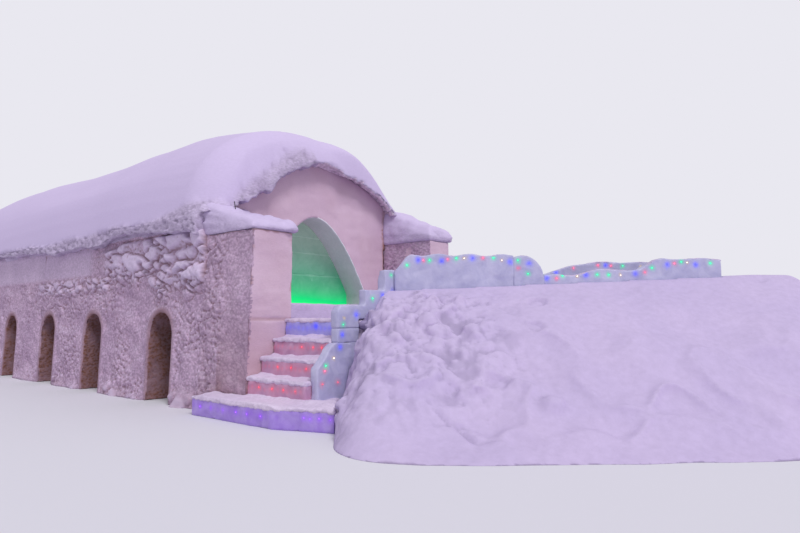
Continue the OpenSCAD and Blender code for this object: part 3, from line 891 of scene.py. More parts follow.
@dataclass(frozen=True)
class Clods:
    """Clods of snow thrown against a face or lying on a slope, scattered by one node tree."""

    spacing: float
    smallest: float
    largest: float
    roughen: float
    seed: int
    flat: float = 0.72
    density: float = 400.0
    oval: ClassVar[float] = 1.25
    tilt: ClassVar[float] = 0.5
    turn: ClassVar[float] = 6.28
    waves: ClassVar[tuple[Pair, ...]] = ((4.5, 1.0), (12.0, 0.4))

    def tree(self) -> Tree:
        """Returns a node tree that scatters, sizes and roughens clods on a face by its cover and bulk."""
        made, given = open_tree("clods", Face="Geometry", Spacing="Float", Density="Float",
                                Smallest="Float", Largest="Float", Flatness="Float", Roughen="Float",
                                Seed="Int", Finish="Material")
        cover = made.add("GeometryNodeInputNamedAttribute", {"Name": "cover"}, data_type="FLOAT")[0]
        spots = made.add("GeometryNodeDistributePointsOnFaces",
                         {"Mesh": given["Face"], "Distance Min": given["Spacing"], "Seed": given["Seed"],
                          "Density Max": given["Density"], "Density Factor": cover},
                         distribute_method="POISSON")
        ball = made.add("GeometryNodeMeshIcoSphere", {"Radius": 1.0, "Subdivisions": 3})[0]
        shape = made.add("ShaderNodeCombineXYZ", {"X": 1.0, "Y": self.oval, "Z": given["Flatness"]})[0]
        squash = made.add("GeometryNodeTransform", {"Geometry": ball, "Scale": shape})[0]
        size = made.add("FunctionNodeRandomValue",
                        {2: given["Smallest"], 3: given["Largest"], "Seed": given["Seed"]},
                        data_type="FLOAT")[1]
        bulk = made.add("GeometryNodeInputNamedAttribute", {"Name": "bulk"}, data_type="FLOAT")[0]
        spin = made.add("FunctionNodeRandomValue",
                        {0: (-self.tilt, -self.tilt, 0.0), 1: (self.tilt, self.tilt, self.turn),
                         "Seed": given["Seed"]}, data_type="FLOAT_VECTOR")[0]
        turned = made.add("FunctionNodeRotateRotation", {0: spots["Rotation"], 1: spin},
                          rotation_space="LOCAL")[0]
        many = made.add("GeometryNodeInstanceOnPoints",
                        {"Points": spots[0], "Instance": squash, "Rotation": turned,
                         "Scale": made.value("MULTIPLY", size, bulk)})[0]
        grown = made.add("GeometryNodeRealizeInstances", {"Geometry": many})[0]
        for per_metre, share in self.waves:
            amount = made.value("MULTIPLY", given["Roughen"], share)
            grown = made.roughened(grown, amount, per_metre, 2.0)
        return made.close(grown, given["Finish"])

    def scatter(self, face: Mesh, material: Material) -> Mesh:
        """Scatters clods on a face.

        Args:
            face: the face, with cover and bulk stored for each point.
            material: the clods' finish.

        Returns:
            The clods as one mesh; the face is used up.
        """
        tree = bpy.data.node_groups.get("clods") or self.tree()
        return run_tree(tree, face, "clods", Spacing=self.spacing, Density=self.density,
                        Smallest=self.smallest, Largest=self.largest, Flatness=self.flat,
                        Roughen=self.roughen, Seed=self.seed, Finish=material)


def face_mesh(at: Points, rows: int, columns: int, cover: Points, bulk: Points) -> Mesh:
    """Makes the face that clods are scattered on.

    Args:
        at: its points, row after row.
        rows: how many rows there are.
        columns: how many points a row has.
        cover: how densely clods lie at each point, from 0 to 1.
        bulk: how large they are there.

    Returns:
        The face.
    """
    mesh = bpy.data.meshes.new("face")
    grid = np.arange(rows * columns).reshape(rows, columns)
    quads = np.stack([grid[:-1, :-1], grid[:-1, 1:], grid[1:, 1:], grid[1:, :-1]], axis=-1).reshape(-1, 4)
    mesh.from_pydata(at.tolist(), [], quads.tolist())
    put_values(mesh, "cover", np.clip(cover, 0, 1))
    put_values(mesh, "bulk", bulk)
    return mesh


# ---------------------------------------------------------------- the hall


# Outer face of the side walls at the ground, how far it leans in for each metre up, and how far the walls'
# skins are grown before they are shaped, so that masses side by side meet inside each other.
WALL_X = 2.94
WALL_LEAN = 0.1 / 3.4
OVERLAP = 0.03


def doorways() -> list[float]:
    """Returns the doorways' centres along the hall, from the record's openings."""
    openings = frame["record"]["physics"]["openings"]
    boxes = [o["box_m"] for o in openings if o["name"].startswith("left_doorway")]
    return [(b[0][1] + b[1][1]) / 2 for b in boxes]


@dataclass
class SideWalls:
    """Battered side walls: blown crust outside, a trowelled ring and a worn reveal at each doorway."""

    finishes: Finishes
    door_half: float = 0.45
    door_spring: float = 1.33
    crumb: float = 0.10
    crumb_height: float = 0.045
    swell_height: float = 0.034
    ring_height: float = 0.022
    foot_spread: float = 0.09
    foot_height: float = 0.10
    stretch: float = 1.5
    panel_y: float = 4.4
    panel_z: float = 2.72
    heap_y: Limits = (-1.0, -0.3, 3.0, 4.8)
    heap_z: float = 2.74
    eave_z: float = 3.40
    band_y: Limits = (2.6, 3.8, 7.6, 8.6)
    band_z: Limits = (2.24, 2.36, 2.60, 2.74)
    large_slab: float = 0.38
    large_height: float = 0.18
    small_slab: float = 0.17
    small_height: float = 0.11
    centres: list[float] = field(default_factory=doorways)

    def door_gap(self, at: Points) -> Points:
        """Returns each point's distance from the nearest doorway's outline, below zero inside the doorway."""
        best = np.full(len(at), 99.0)
        for centre in self.centres:
            across = np.abs(at[:, 1] - centre)
            head = np.hypot(across, at[:, 2] - self.door_spring)
            best = np.minimum(best, np.where(at[:, 2] > self.door_spring, head, across) - self.door_half)
        return best

    def proud(self, at: Points) -> Points:
        """Returns how far each point stands out from the wall's battered outer face, on either side."""
        return np.abs(at[:, 0]) - WALL_X + WALL_LEAN * at[:, 2]

    def crumbs(self, at: Points) -> tuple[Points, Points]:
        """Returns the crust's crumbs, 0 in the creases and 1 on the crowns, and how thick the crust lies."""
        flat = at * (0.0, 0.85, 1.3) + 0.05 * NOISE.swell(at * FACE, 0.3, 2)[:, None]
        patch = 0.25 + 0.75 * ramp(NOISE.swell(at * FACE, 0.7, 2), -0.5, 0.6)
        crowns = np.maximum(NOISE.clods(flat, self.crumb, 0.85), 0.6 * NOISE.clods(flat, self.crumb * 0.6))
        return crowns, patch

    def crust(self, at: Points) -> Points:
        """Returns the height of the blown crust on an outer face, with bare panels under the left eave."""
        bare = 1 - 0.9 * self.panel(at)
        small, patch = self.crumbs(at)
        rough = self.crumb_height * (small * patch - 0.2) + self.swell_height * NOISE.swell(at, 0.4, 3)
        return bare * rough + 0.012 * NOISE.swell(at, 1.3)

    def panel(self, at: Points) -> Points:
        """Returns where the wall is bare and smooth, under the eave beyond the thrown snow."""
        y, z = at[:, 1], at[:, 2]
        return ramp(y, self.panel_y, self.panel_y + 0.5) * ramp(z, self.panel_z - 0.05, self.panel_z + 0.05)

    def heap(self, at: Points) -> Points:
        """Returns where snow is thrown against the left wall, under the eave and in a band beyond it."""
        y, z = at[:, 1], at[:, 2]
        low = self.heap_z - 0.46 * ramp(y, 3.6, 0.8) + 0.16 * NOISE.swell(at * FACE, 0.6, 2)
        eave = self.eave_z - 0.12 * ramp(y, 2.8, 3.6)
        upper = band(y, self.heap_y) * band(z, (low - 0.3, low + 0.1, eave - 0.1, eave))
        return np.maximum(upper, 0.8 * band(y, self.band_y) * band(z, self.band_z))

    def heaped(self, at: Points) -> Points:
        """Returns the height of the thrown snow's slabs, large above and small below."""
        flat = at * (0.0, 0.45, 1.0) + 0.10 * NOISE.swell(at * FACE, 0.35, 3)[:, None]
        low = self.heap_z + 0.06 - 0.42 * ramp(at[:, 1], 3.6, 0.8)
        above = ramp(at[:, 2], low - 0.05, low + 0.12) * ramp(at[:, 1], 4.6, 3.6)
        above *= ramp(NOISE.swell(at * (0, 0.7, 1) + 9.0, 0.55, 2), -0.55, -0.25)
        large = 0.02 + self.large_height * NOISE.slabs(flat, self.large_slab, 0.26)
        small = NOISE.slabs(flat * (1, 1.3, 1), self.small_slab, 0.3)
        return above * large + (0.02 + self.small_height * (1 - above)) * small

    def shape(self, side: int) -> Move:
        """Makes the shaping of a side wall.

        Args:
            side: -1 for the left wall, 1 for the right one.

        Returns:
            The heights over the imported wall.
        """
        def move(at: Points, out: Points) -> Points:
            """Returns each point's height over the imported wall."""
            proud, gap = self.proud(at), self.door_gap(at)
            outer = ramp(side * out[:, 0], 0.3, 0.8) * ramp(proud, -0.12, -0.04)
            rough = ramp(gap, 0.09, 0.2)
            ring = self.ring_height * (1 - rough) * ramp(gap, -0.01, 0.03)
            foot = self.foot_spread * np.exp(-at[:, 2] / self.foot_height) * rough
            pillow = ramp(proud, 0.03, 0.08)
            thrown = self.heap(at) * (side < 0)
            ragged = 0.016 * NOISE.clods(at, 0.10) * ramp(gap, 0.06, 0.0) * ramp(np.abs(out[:, 1]), 0.2, 0.8)
            inner = 0.008 * NOISE.swell(at, 0.22, 2) + ragged * ramp(proud, -0.3, -0.05)
            # The wall's hidden top rises into the roof snow, so that no gap shows under the eave.
            top = ramp(out[:, 2], 0.5, 0.9) * ramp(at[:, 2], 3.2, 3.35) * ramp(np.abs(at[:, 0]), 2.3, 2.6)
            inner += 0.2 * top
            crust = self.crust(at) * (1 - 0.8 * np.maximum(pillow, thrown)) + thrown * self.heaped(at)
            return outer * (rough * crust + ring + foot) + (1 - outer) * inner - OVERLAP
        return move

    def marks(self, side: int) -> Move:
        """Makes the stain and painted light of a side wall: painted warm light and shade in the doorways'
        reveals, painted warm light on the rings' heads and edges, and the stained, splashed foot.

        Args:
            side: -1 for the left wall, 1 for the right one.

        Returns:
            The shares of stain and painted light.
        """
        def stain(at: Points, out: Points) -> Points:
            """Returns how strongly each point is stained and painted with the doorways' warm light and shade.
            """
            gap = self.door_gap(at)
            # Painted warm light and shade on the doorways' jambs, and painted warm light on the rings' heads
            # and edges.
            reveal = 1.15 * ramp(gap, 0.09, 0.05) * ramp(side * out[:, 0], 0.85, 0.5)
            head = 0.75 * ramp(gap, 0.20, 0.03) * ramp(at[:, 2], 1.0, 1.7)
            edge = 0.58 * ramp(gap, 0.14, 0.02)
            foot = 0.30 * ramp(at[:, 2], 0.30, 0.02) * ramp(NOISE.swell(at, 0.5), -0.6, 0.6)
            patchy = 0.88 + 0.22 * NOISE.swell(at, 0.3, 2)
            splash = 0.3 * ramp(at[:, 1], 0.9, 0.2) * ramp(at[:, 2], 0.5, 0.15) * (side < 0)
            return np.clip(np.maximum.reduce([reveal, head, edge, foot, splash]) * patchy, 0, 1)
        return stain

    def settled(self, at: Points, out: Points) -> Points:
        """Returns how clean the snow is: what stands proud of the wall is fresh, the panels half so."""
        proud = self.proud(at)
        heap = 0.65 * ramp(self.heap(at), 0.3, 0.9) * ramp(proud, 0.0, 0.05) * (at[:, 0] < 0)
        return np.maximum.reduce([0.9 * ramp(proud, 0.05, 0.11), 0.5 * self.panel(at), heap])

    def clods(self) -> tuple[Mesh, ...]:
        """Returns the clods that lie along the foot of the left wall, large and small."""
        ys, zs = np.linspace(-1.8, 9.0, 217), np.linspace(0.03, 0.5, 12)
        y, z = np.meshgrid(ys, zs, indexing="ij")
        at = np.stack([WALL_LEAN * z - WALL_X, y, z], axis=-1).reshape(-1, 3)
        clear = ramp(self.door_gap(at), 0.16, 0.28)
        foot = clear * ramp(at[:, 1], -0.4, 0.1) * ramp(at[:, 2], 0.26, 0.12)
        mound = clear * band(at[:, 1], (-1.7, -1.3, 0.0, 0.3)) * ramp(at[:, 2], 0.36, 0.2)
        bulk = 0.6 + 0.4 * ramp(at[:, 1], 4.6, 3.4)
        made = []
        for kind, cover in ((Clods(0.50, 0.10, 0.16, 0.12, 5, flat=0.62), 0.5 * mound),
                            (Clods(0.15, 0.06, 0.10, 0.10, 8, flat=0.75), np.maximum(0.35 * foot, mound))):
            mesh = kind.scatter(face_mesh(at * (1, 1 / self.stretch, 1), len(ys), len(zs), cover, bulk),
                                self.finishes.wall)
            mesh.transform(Matrix.Diagonal((1, self.stretch, 1, 1)))
            made.append(mesh)
        return tuple(made)

    def build(self) -> None:
        """Builds the rear section of the left wall and both sections of the right one."""
        for name, side, voxel, keep in (("left_wall_rear", -1, 0.042, 0.6),
                                        ("right_wall_front", 1, 0.065, 0.75),
                                        ("right_wall_rear", 1, 0.065, 0.75)):
            Mass(f"{name}_snow", (name,), self.finishes.wall, "wall_snow", voxel, self.shape(side),
                 self.marks(side), self.settled, keep=keep, grow=OVERLAP, pit_shade=0.5).build()


@dataclass
class RoofDrift:
    """The blanket of drifted snow: a soft crown, a broken eave, and a lip over the gable.

    Pairs of rows give places and values to interpolate between: the eave's height and the crown's sag along
    the hall, and across it the solid's underside at the gable, how far the lip hangs below it, and how high
    the broken snow reaches above that edge.
    """

    finishes: Finishes
    hang_z: float = 3.29
    lip_y: float = -0.45
    eave_y: tuple[float, ...] = (-0.8, 0.8, 3.0, 3.7, 8.6, 11.0, 18.4)
    eave_z: tuple[float, ...] = (3.30, 3.38, 3.42, 3.28, 3.42, 3.52, 3.48)
    crown_y: tuple[float, ...] = (-0.8, 1.0, 3.0, 5.0, 7.0, 10.0, 13.0, 18.4)
    crown_sag: tuple[float, ...] = (0.02, 0.06, 0.18, 0.25, 0.22, 0.08, 0.0, 0.08)
    under_x: tuple[float, ...] = (-2.56, -2.15, -1.88, -1.62, -1.31, -0.81, -0.31, 0.39, 1.56)
    under_z: tuple[float, ...] = (3.68, 4.46, 4.61, 4.71, 4.83, 4.95, 5.10, 5.02, 4.47)
    drop_x: tuple[float, ...] = (-2.8, -2.45, -2.15, -1.9, -1.6, -1.3, -0.85, -0.6, -0.42, 0.4, 1.2)
    drop_z: tuple[float, ...] = (0.12, 0.28, 0.47, 0.40, 0.39, 0.28, 0.16, 0.17, 0.0, 0.03, 0.0)
    band_x: tuple[float, ...] = (-2.6, -1.8, -1.2, -0.75, -0.5, -0.35, 2.6)
    band_z: tuple[float, ...] = (0.22, 0.30, 0.50, 0.46, 0.24, -0.30, -0.30)
    broken_z: float = 3.60
    centre_z: float = 3.30
    front_y: float = -0.81
    shoulder: float = 0.9
    roll: float = 0.15
    fine_y: float = 9.0

    def broken(self, at: Points, out: Points, moved: bool = True) -> Points:
        """Returns where the snow has broken off and shows its grain: the eave, the lip's foot and the soffit.

        Args:
            at: points of the blanket.
            out: their normals.
            moved: whether the points have been moved already.

        Returns:
            One number from 0 to 1 for each point.
        """
        x, y, z = at.T
        top = self.broken_z + 0.06 * NOISE.swell(at * ALONG, 0.9, 2) + 0.28 * ramp(y, 1.6, -0.3)
        eave = ramp(z, top + 0.1, top - 0.06) * ramp(np.abs(x), 2.6, 2.85)
        under = np.interp(x, self.under_x, self.under_z) - moved * np.interp(x, self.drop_x, self.drop_z)
        reach = np.interp(x, self.band_x, self.band_z) * (1 + 0.3 * NOISE.swell(at * ACROSS, 0.5, 2))
        ahead = ramp(y, self.lip_y + 0.2, self.lip_y)
        lip = ahead * ramp(z - under, reach + 0.2, reach - 0.1)
        soffit = ramp(self.inward(at, out), 0.1, 0.5) * ahead
        return np.maximum.reduce([eave, lip, soffit])

    def spoke(self, at: Points) -> Points:
        """Returns the way from the vault's axis to each point, level along the hall."""
        return np.column_stack([at[:, 0], np.zeros(len(at)), at[:, 2] - self.centre_z])

    def inward(self, at: Points, out: Points) -> Points:
        """Returns how far each point faces the vault's axis, from -1 to 1."""
        spoke = self.spoke(at)
        return -np.sum(out * spoke, axis=1) / np.hypot(spoke[:, 0], spoke[:, 2])

    def rounded(self, at: Points, out: Points) -> Points:
        """Returns the moves that round the blanket's front shoulder, left of the crown."""
        spoke = self.spoke(at)
        arm = np.hypot(spoke[:, 0], spoke[:, 2])
        angle = np.arctan2(spoke[:, 2], spoke[:, 0])
        # The blanket's outer radius, angle by angle, read a little behind the front.
        back = (at[:, 1] > 0.1) & (at[:, 1] < 0.9) & (self.inward(at, out) < -0.5)
        bins = np.digitize(angle[back], np.linspace(0.1, math.pi - 0.1, 45))
        mean = [(angle[back][bins == k].mean(), arm[back][bins == k].mean()) for k in np.unique(bins)]
        top = np.interp(angle, [m[0] for m in mean], [m[1] for m in mean])
        ahead = np.clip(self.shoulder - (at[:, 1] - self.front_y), 0, self.shoulder)
        above = np.clip(self.shoulder - (top - arm), 0, self.shoulder)
        reach = np.hypot(ahead, above)
        cut = np.where(reach > self.shoulder, 1 - self.shoulder / np.maximum(reach, 0.01), 0)
        cut = cut * ramp(at[:, 0], 0.7, -0.3) * ramp(at[:, 2], 3.6, 4.1)
        return (above * cut / arm)[:, None] * -spoke + (ahead * cut)[:, None] * ALONG

    def move(self, at: Points, out: Points) -> Points:
        """Returns how far each point of the blanket moves, as vectors."""
        x, y, z = at.T
        broken = self.broken(at, out, False)
        hang = ramp(z, 3.75, 3.35) * ramp(np.abs(x), 2.79, 2.86)
        lip = ramp(y, self.lip_y + 0.25, self.lip_y - 0.05)
        layered = at * (1, 1, 2.5)
        height = 0.022 * NOISE.swell(at, 2.3, 2) - 0.03
        height += broken * (0.05 * NOISE.clods(layered, 0.18, 0.9) + 0.026 * NOISE.clods(at, 0.09)
                            + 0.04 * NOISE.swell(at, 0.6, 3) - 0.05)
        shift = out * height[:, None] + self.rounded(at, out)
        target = np.interp(y, self.eave_y, self.eave_z) + 0.05 * NOISE.swell(at * ALONG, 0.8, 2)
        shift[:, 2] += (target - self.hang_z) * hang
        shift[:, 2] -= np.interp(y, self.crown_y, self.crown_sag) * ramp(z, 4.5, 5.4)
        front = ramp(y, 1.5, -0.3) * ramp(out[:, 2], -0.2, 0.3)
        shift[:, 2] += front * (0.07 * band(x, (-0.2, 0.4, 0.8, 1.3)) - 0.28 * ramp(x, 1.1, 2.1))
        # Right of the crown the lip is a thick smooth roll.
        spoke = self.spoke(at)
        roll = self.roll * ramp(y, self.lip_y, self.front_y + 0.05) * ramp(x, 0.0, 0.7) * ramp(z, 3.35, 3.75)
        roll *= ramp(self.inward(at, out), -0.5, 0.1) / np.hypot(spoke[:, 0], spoke[:, 2])
        shift -= roll[:, None] * spoke
        over = z - np.interp(x, self.under_x, self.under_z)
        ragged = 1 + 0.35 * NOISE.swell(at * ACROSS + 7.0, 0.3, 3)
        shift[:, 2] -= np.interp(x, self.drop_x, self.drop_z) * ragged * lip * ramp(over, 0.65, 0.05)
        return shift

    def build(self) -> None:
        """Builds the blanket as one piece."""
        def sheltered(at: Points, out: Points) -> Points:
            """Returns which faces are the soffit right of the crown, which get the brightened, painted-light
            finish.
            """
            return (self.inward(at, out) > 0.6) & (at[:, 0] > -0.3) & (at[:, 1] < -0.3)

        def seen(at: Points, out: Points) -> Points:
            """Returns which points are broken snow near enough to stay fine."""
            return (self.broken(at, out) > 0.1) & (at[:, 1] < self.fine_y)

        Mass("roof_snow_drift", ("roof_snow_front", "roof_snow_rear"), self.finishes.roof, "roof_snow", 0.052,
             self.move, fresh=lambda at, out: 1 - self.broken(at, out), open_y=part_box("roof_snow_front")[1].y,
             soften=3, keep=0.56, second=(self.finishes.sheltered, sheltered), pit_shade=0.4, spare=seen).build()


@dataclass
class GableFront:
    """Trowelled gable with its arch, the sill, and the cheek walls with their caps."""

    finishes: Finishes
    arch_half: float = 1.55
    arch_spring: float = 2.26
    arch_crown: float = 3.92
    arch_x: float = -0.12
    arch_power: float = 1.75
    joint_z: float = 1.65
    face_y: float = -0.45
    cheek_y: float = -1.0
    crevice_x: float = 2.09

    @staticmethod
    def trowelled(at: Points, out: Points) -> Points:
        """Returns the slight waves and pits that a trowel leaves."""
        return 0.009 * NOISE.swell(at * (1, 1, 2.2), 0.35, 2) + 0.003 * NOISE.swell(at, 0.09)

    def soiled(self, at: Points, out: Points) -> Points:
        """Returns the faint soiling of smooth snow, stronger low down beside the stair."""
        patch = 0.04 + 0.08 * ramp(NOISE.swell(at, 0.8, 2), -0.2, 0.8)
        splash = 0.45 * ramp(at[:, 2], 0.85, 0.1) * ramp(NOISE.swell(at, 0.35, 2), -0.5, 0.5)
        cheek = at[:, 1] < self.cheek_y
        splash += 0.3 * ramp(at[:, 2], 1.75, 0.7) * ramp(-at[:, 0], 1.9, 2.3) * cheek
        return np.clip(patch + splash + 0.45 * self.joint(at, out, 0.018) * cheek, 0, 1)

    def crevices(self, at: Points, out: Points) -> Points:
        """Returns the soiling of the gable, with painted shadow down the crevice beside the right cheek."""
        # Painted shadow: a dark, patchy line down the crevice where the gable meets the right cheek.
        broken = ramp(NOISE.swell(at * (1, 0, 1) + 4.0, 0.16, 2), -0.4, 0.5)
        side = np.exp(-((at[:, 0] - self.crevice_x) / 0.035) ** 2) * ramp(at[:, 2], 1.7, 2.1)
        side *= 0.4 + 0.6 * broken
        return np.clip(self.soiled(at, out) + 0.95 * side * ramp(-out[:, 1], 0.3, 0.8), 0, 1)

    def joint(self, at: Points, out: Points, half: float) -> Points:
        """Returns 1 on the block joint across the front of a cheek wall, fading over half its width."""
        return np.exp(-((at[:, 2] - self.joint_z) / half) ** 2) * ramp(-out[:, 1], 0.3, 0.8)

    def cheek(self, walls: SideWalls, left: bool) -> Move:
        """Makes the shaping of a cheek wall: crust on its left face, a block joint in its smooth front.

        Args:
            walls: the side walls, whose crust runs on.
            left: whether it is the left cheek, whose crust reaches down to the ground.

        Returns:
            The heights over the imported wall.
        """
        def move(at: Points, out: Points) -> Points:
            """Returns each point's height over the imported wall."""
            side = ramp(-out[:, 0], 0.3, 0.8)
            fade = ramp(at[:, 1], -1.9, -1.76) * (1.0 if left else ramp(at[:, 2], 2.2, 2.5))
            return (side * fade * walls.crust(at) + (1 - side) * self.trowelled(at, out)
                    - 0.02 * self.joint(at, out, 0.02) - OVERLAP)
        return move

    def left_front(self, walls: SideWalls) -> None:
        """Builds the left wall's front section together with the cheek wall that it runs on into.

        Args:
            walls: the side walls.
        """
        cheek, wall, stain_and_light = self.cheek(walls, True), walls.shape(-1), walls.marks(-1)

        def ahead(at: Points) -> Points:
            """Returns which points belong to the cheek wall."""
            return at[:, 1] < self.face_y

        def move(at: Points, out: Points) -> Points:
            """Returns each point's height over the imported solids."""
            return np.where(ahead(at), cheek(at, out), wall(at, out))

        def stain(at: Points, out: Points) -> Points:
            """Returns how stained each point is, with the painted light of the wall's doorways."""
            return np.where(ahead(at), self.soiled(at, out), stain_and_light(at, out))

        def smooth(at: Points, out: Points) -> Points:
            """Returns which faces are the cheek wall's trowelled front."""
            return ahead(at) & (at[:, 0] > 0.04 - WALL_X + WALL_LEAN * at[:, 2]) & (out[:, 0] > -0.5)

        Mass("left_wall_front_snow", ("left_wall_front", "left_cheek_base", "left_cheek_top"),
             self.finishes.wall, "wall_snow", 0.028, move, stain, walls.settled, extra=walls.clods(),
             soften=1, keep=0.56, second=(self.finishes.smooth, smooth), grow=OVERLAP, pit_shade=0.65).build()

    @staticmethod
    def pillow(at: Points, out: Points) -> Points:
        """Returns the shaping of a cap of fresh snow: soft swells above, a full end, a level underside."""
        upper = ramp(out[:, 2], -0.5, 0.1)
        x, y, _ = at.T
        joined = 0.12 * ramp(y, -1.15, -0.7) * ramp(np.abs(x), 1.9, 2.5) * ramp(out[:, 2], -0.1, 0.5)
        end = 0.06 * (ramp(x, -2.2, -2.02) * (x < 0) + ramp(x, 2.6, 2.85))
        soft = 0.03 * NOISE.swell(at, 0.4, 2) + 0.02 * NOISE.clods(at, 0.35, 0.9) + joined + end
        return upper * soft - 0.015 * (1 - upper)

    def in_arch(self, at: Points, out: Points) -> Points:
        """Returns which faces line the arch."""
        x, y, z = at.T
        within = (np.abs(x - self.arch_x) < self.arch_half + 0.08) & (z < self.arch_crown + 0.05)
        return within & (np.abs(y) < 0.43) & (np.abs(out[:, 1]) < 0.7)

    def frost_rim(self) -> None:
        """Builds the thin frosted edge along the right half of the arch."""
        rise, y = self.arch_crown - self.arch_spring, self.face_y - 0.002
        foot = self.arch_x + self.arch_half
        points = [(self.arch_x + self.arch_half * u, y, self.arch_spring + rise * (1 - u ** self.arch_power))
                  for u in np.linspace(0.02, 1.0, 40)]
        points += [(foot + 0.003, y, 2.15), (foot + 0.006, y, 2.03)]
        SweptRim(self.finishes.frost, 0.018, 0.016, 0.03).build("arch_frost_rim", points, "screen_ice")

    def build(self, walls: SideWalls) -> None:
        """Builds the gables, cheeks, caps and sill.

        Args:
            walls: the side walls.
        """
        f = self.finishes
        Mass("front_gable_snow", ("front_gable",), f.smooth, "smooth_snow", 0.036, self.trowelled,
             self.crevices, keep=0.42, second=(f.reveal, self.in_arch)).build()
        Mass("rear_gable_snow", ("rear_gable",), f.wall, "wall_snow", 0.07,
             lambda at, out: ramp(out[:, 1], 0.3, 0.8) * walls.crust(at) * 0.7, self.soiled, keep=0.8).build()
        self.left_front(walls)
        inner_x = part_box("right_cheek_top")[0].x

        def upper_face(at: Points, out: Points) -> Points:
            """Returns which faces are the rough side of the right cheek, above its joined part."""
            return (at[:, 0] < inner_x + 0.03) & (at[:, 2] > 2.35)

        Mass("right_cheek_snow", ("right_cheek_base", "right_cheek_top"), f.smooth, "smooth_snow", 0.03,
             self.cheek(walls, False), self.soiled, walls.settled, keep=0.6, second=(f.wall, upper_face),
             grow=OVERLAP).build()
        for name, grow in (("left_cheek_cap", 0.025), ("right_cheek_cap", 0.045)):
            # The caps' upper faces take more of the fresh colour: partly settled snow, partly painted sky light
            # on their tops.
            Mass(f"{name}_snow", (name,), f.roof, "roof_snow", 0.026, self.pillow, soften=10, keep=0.8,
                 fresh=lambda at, out: 0.45 + 0.5 * ramp(out[:, 2], -0.2, 0.5), grow=grow).build()
        Mass("arch_sill_snow", ("arch_sill",), f.roof, "packed_snow", 0.03,
             lambda at, out: 0.02 * NOISE.swell(at, 0.3, 2), fresh=lambda at, out: np.full(len(at), 0.7),
             soften=9, grow=0.02).build()
        self.frost_rim()
        for name, finish in (("cap_rod", f.rod), ("vault_front", f.smooth), ("vault_rear", f.smooth)):
            clothe(frame["nodes"][name].data, finish)


# ---------------------------------------------------------------- light points


@dataclass(frozen=True)
class LightString:
    """A string of light points set in ice: places along a line and their tones."""

    places: tuple[Spot, ...]
    tones: tuple[LightTone, ...]

    def glow(self, at: Points) -> Points:
        """Returns the coloured light that the string throws into the ice round it, one colour a point."""
        total = np.zeros((len(at), 3))
        for spot, tone in zip(self.places, self.tones):
            near = np.exp(-np.sum((at - np.array(spot)) ** 2, axis=1) / (2 * tone.reach ** 2))
            total += tone.strength * near[:, None] * np.array(linear(tone.colour)[:3])
        return total


TONE_KEYS = {tone.name[0]: tone for tone in LightTone}


@dataclass
class LightPoints:
    """Small clear-capped light points, instanced on a cloud of places."""

    finishes: Finishes
    radius: float = 0.010
    small: float = 0.7

    def tree(self) -> Tree:
        """Returns a node tree that puts one small cap on every point."""
        made, given = open_tree("light_caps", Places="Geometry", Radius="Float", Finish="Material")
        cap = made.add("GeometryNodeMeshIcoSphere", {"Radius": given["Radius"], "Subdivisions": 2})[0]
        spots = made.add("GeometryNodeMeshToPoints", {"Mesh": given["Places"]})[0]
        many = made.add("GeometryNodeInstanceOnPoints", {"Points": spots, "Instance": cap})[0]
        soft = made.add("GeometryNodeSetShadeSmooth", {"Geometry": many})[0]
        return made.close(soft, given["Finish"])

    def build(self, strings: Sequence[LightString]) -> None:
        """Builds one piece for each tone.

        Args:
            strings: every string of light points.
        """
        tree = self.tree()
        for tone in LightTone:
            cloud = bpy.data.meshes.new("cloud")
            cloud.from_pydata([p for s in strings for p, t in zip(s.places, s.tones) if t is tone], [], [])
            name, finish = f"light_points_{tone.name.lower()}", self.finishes.lights[tone]
            radius = self.radius * (self.small if tone in (LightTone.RED, LightTone.VIOLET) else 1.0)
            mesh = run_tree(tree, cloud, name, Radius=radius, Finish=finish)
            mount(place(mesh, name, finish), "rail_ice")


# ---------------------------------------------------------------- stair, rails and screen


@dataclass(frozen=True)
class Run:
    """The walkway's own axes: s along its front rail from the landing's corner, t towards the front."""

    corner_x: float = -0.99
    corner_y: float = -3.57
    turn: float = math.radians(45)
    rail_half: float = 0.08
    rear_t: float = -0.95

    def world(self, s: Points | float, t: Points | float, z: Points | float) -> Points:
        """Returns points of the building's frame for places on the walkway."""
        c, k = math.cos(self.turn), math.sin(self.turn)
        s, t, z = np.broadcast_arrays(s, t, z)
        return np.stack([self.corner_x + s * c - t * k, self.corner_y - s * k - t * c, z], axis=-1)

    def local(self, at: Points) -> tuple[Points, Points]:
        """Returns s and t of points of the building's frame."""
        c, k = math.cos(self.turn), math.sin(self.turn)
        x, y = at[:, 0] - self.corner_x, at[:, 1] - self.corner_y
        return x * c - y * k, -(x * k + y * c)


RUN = Run()


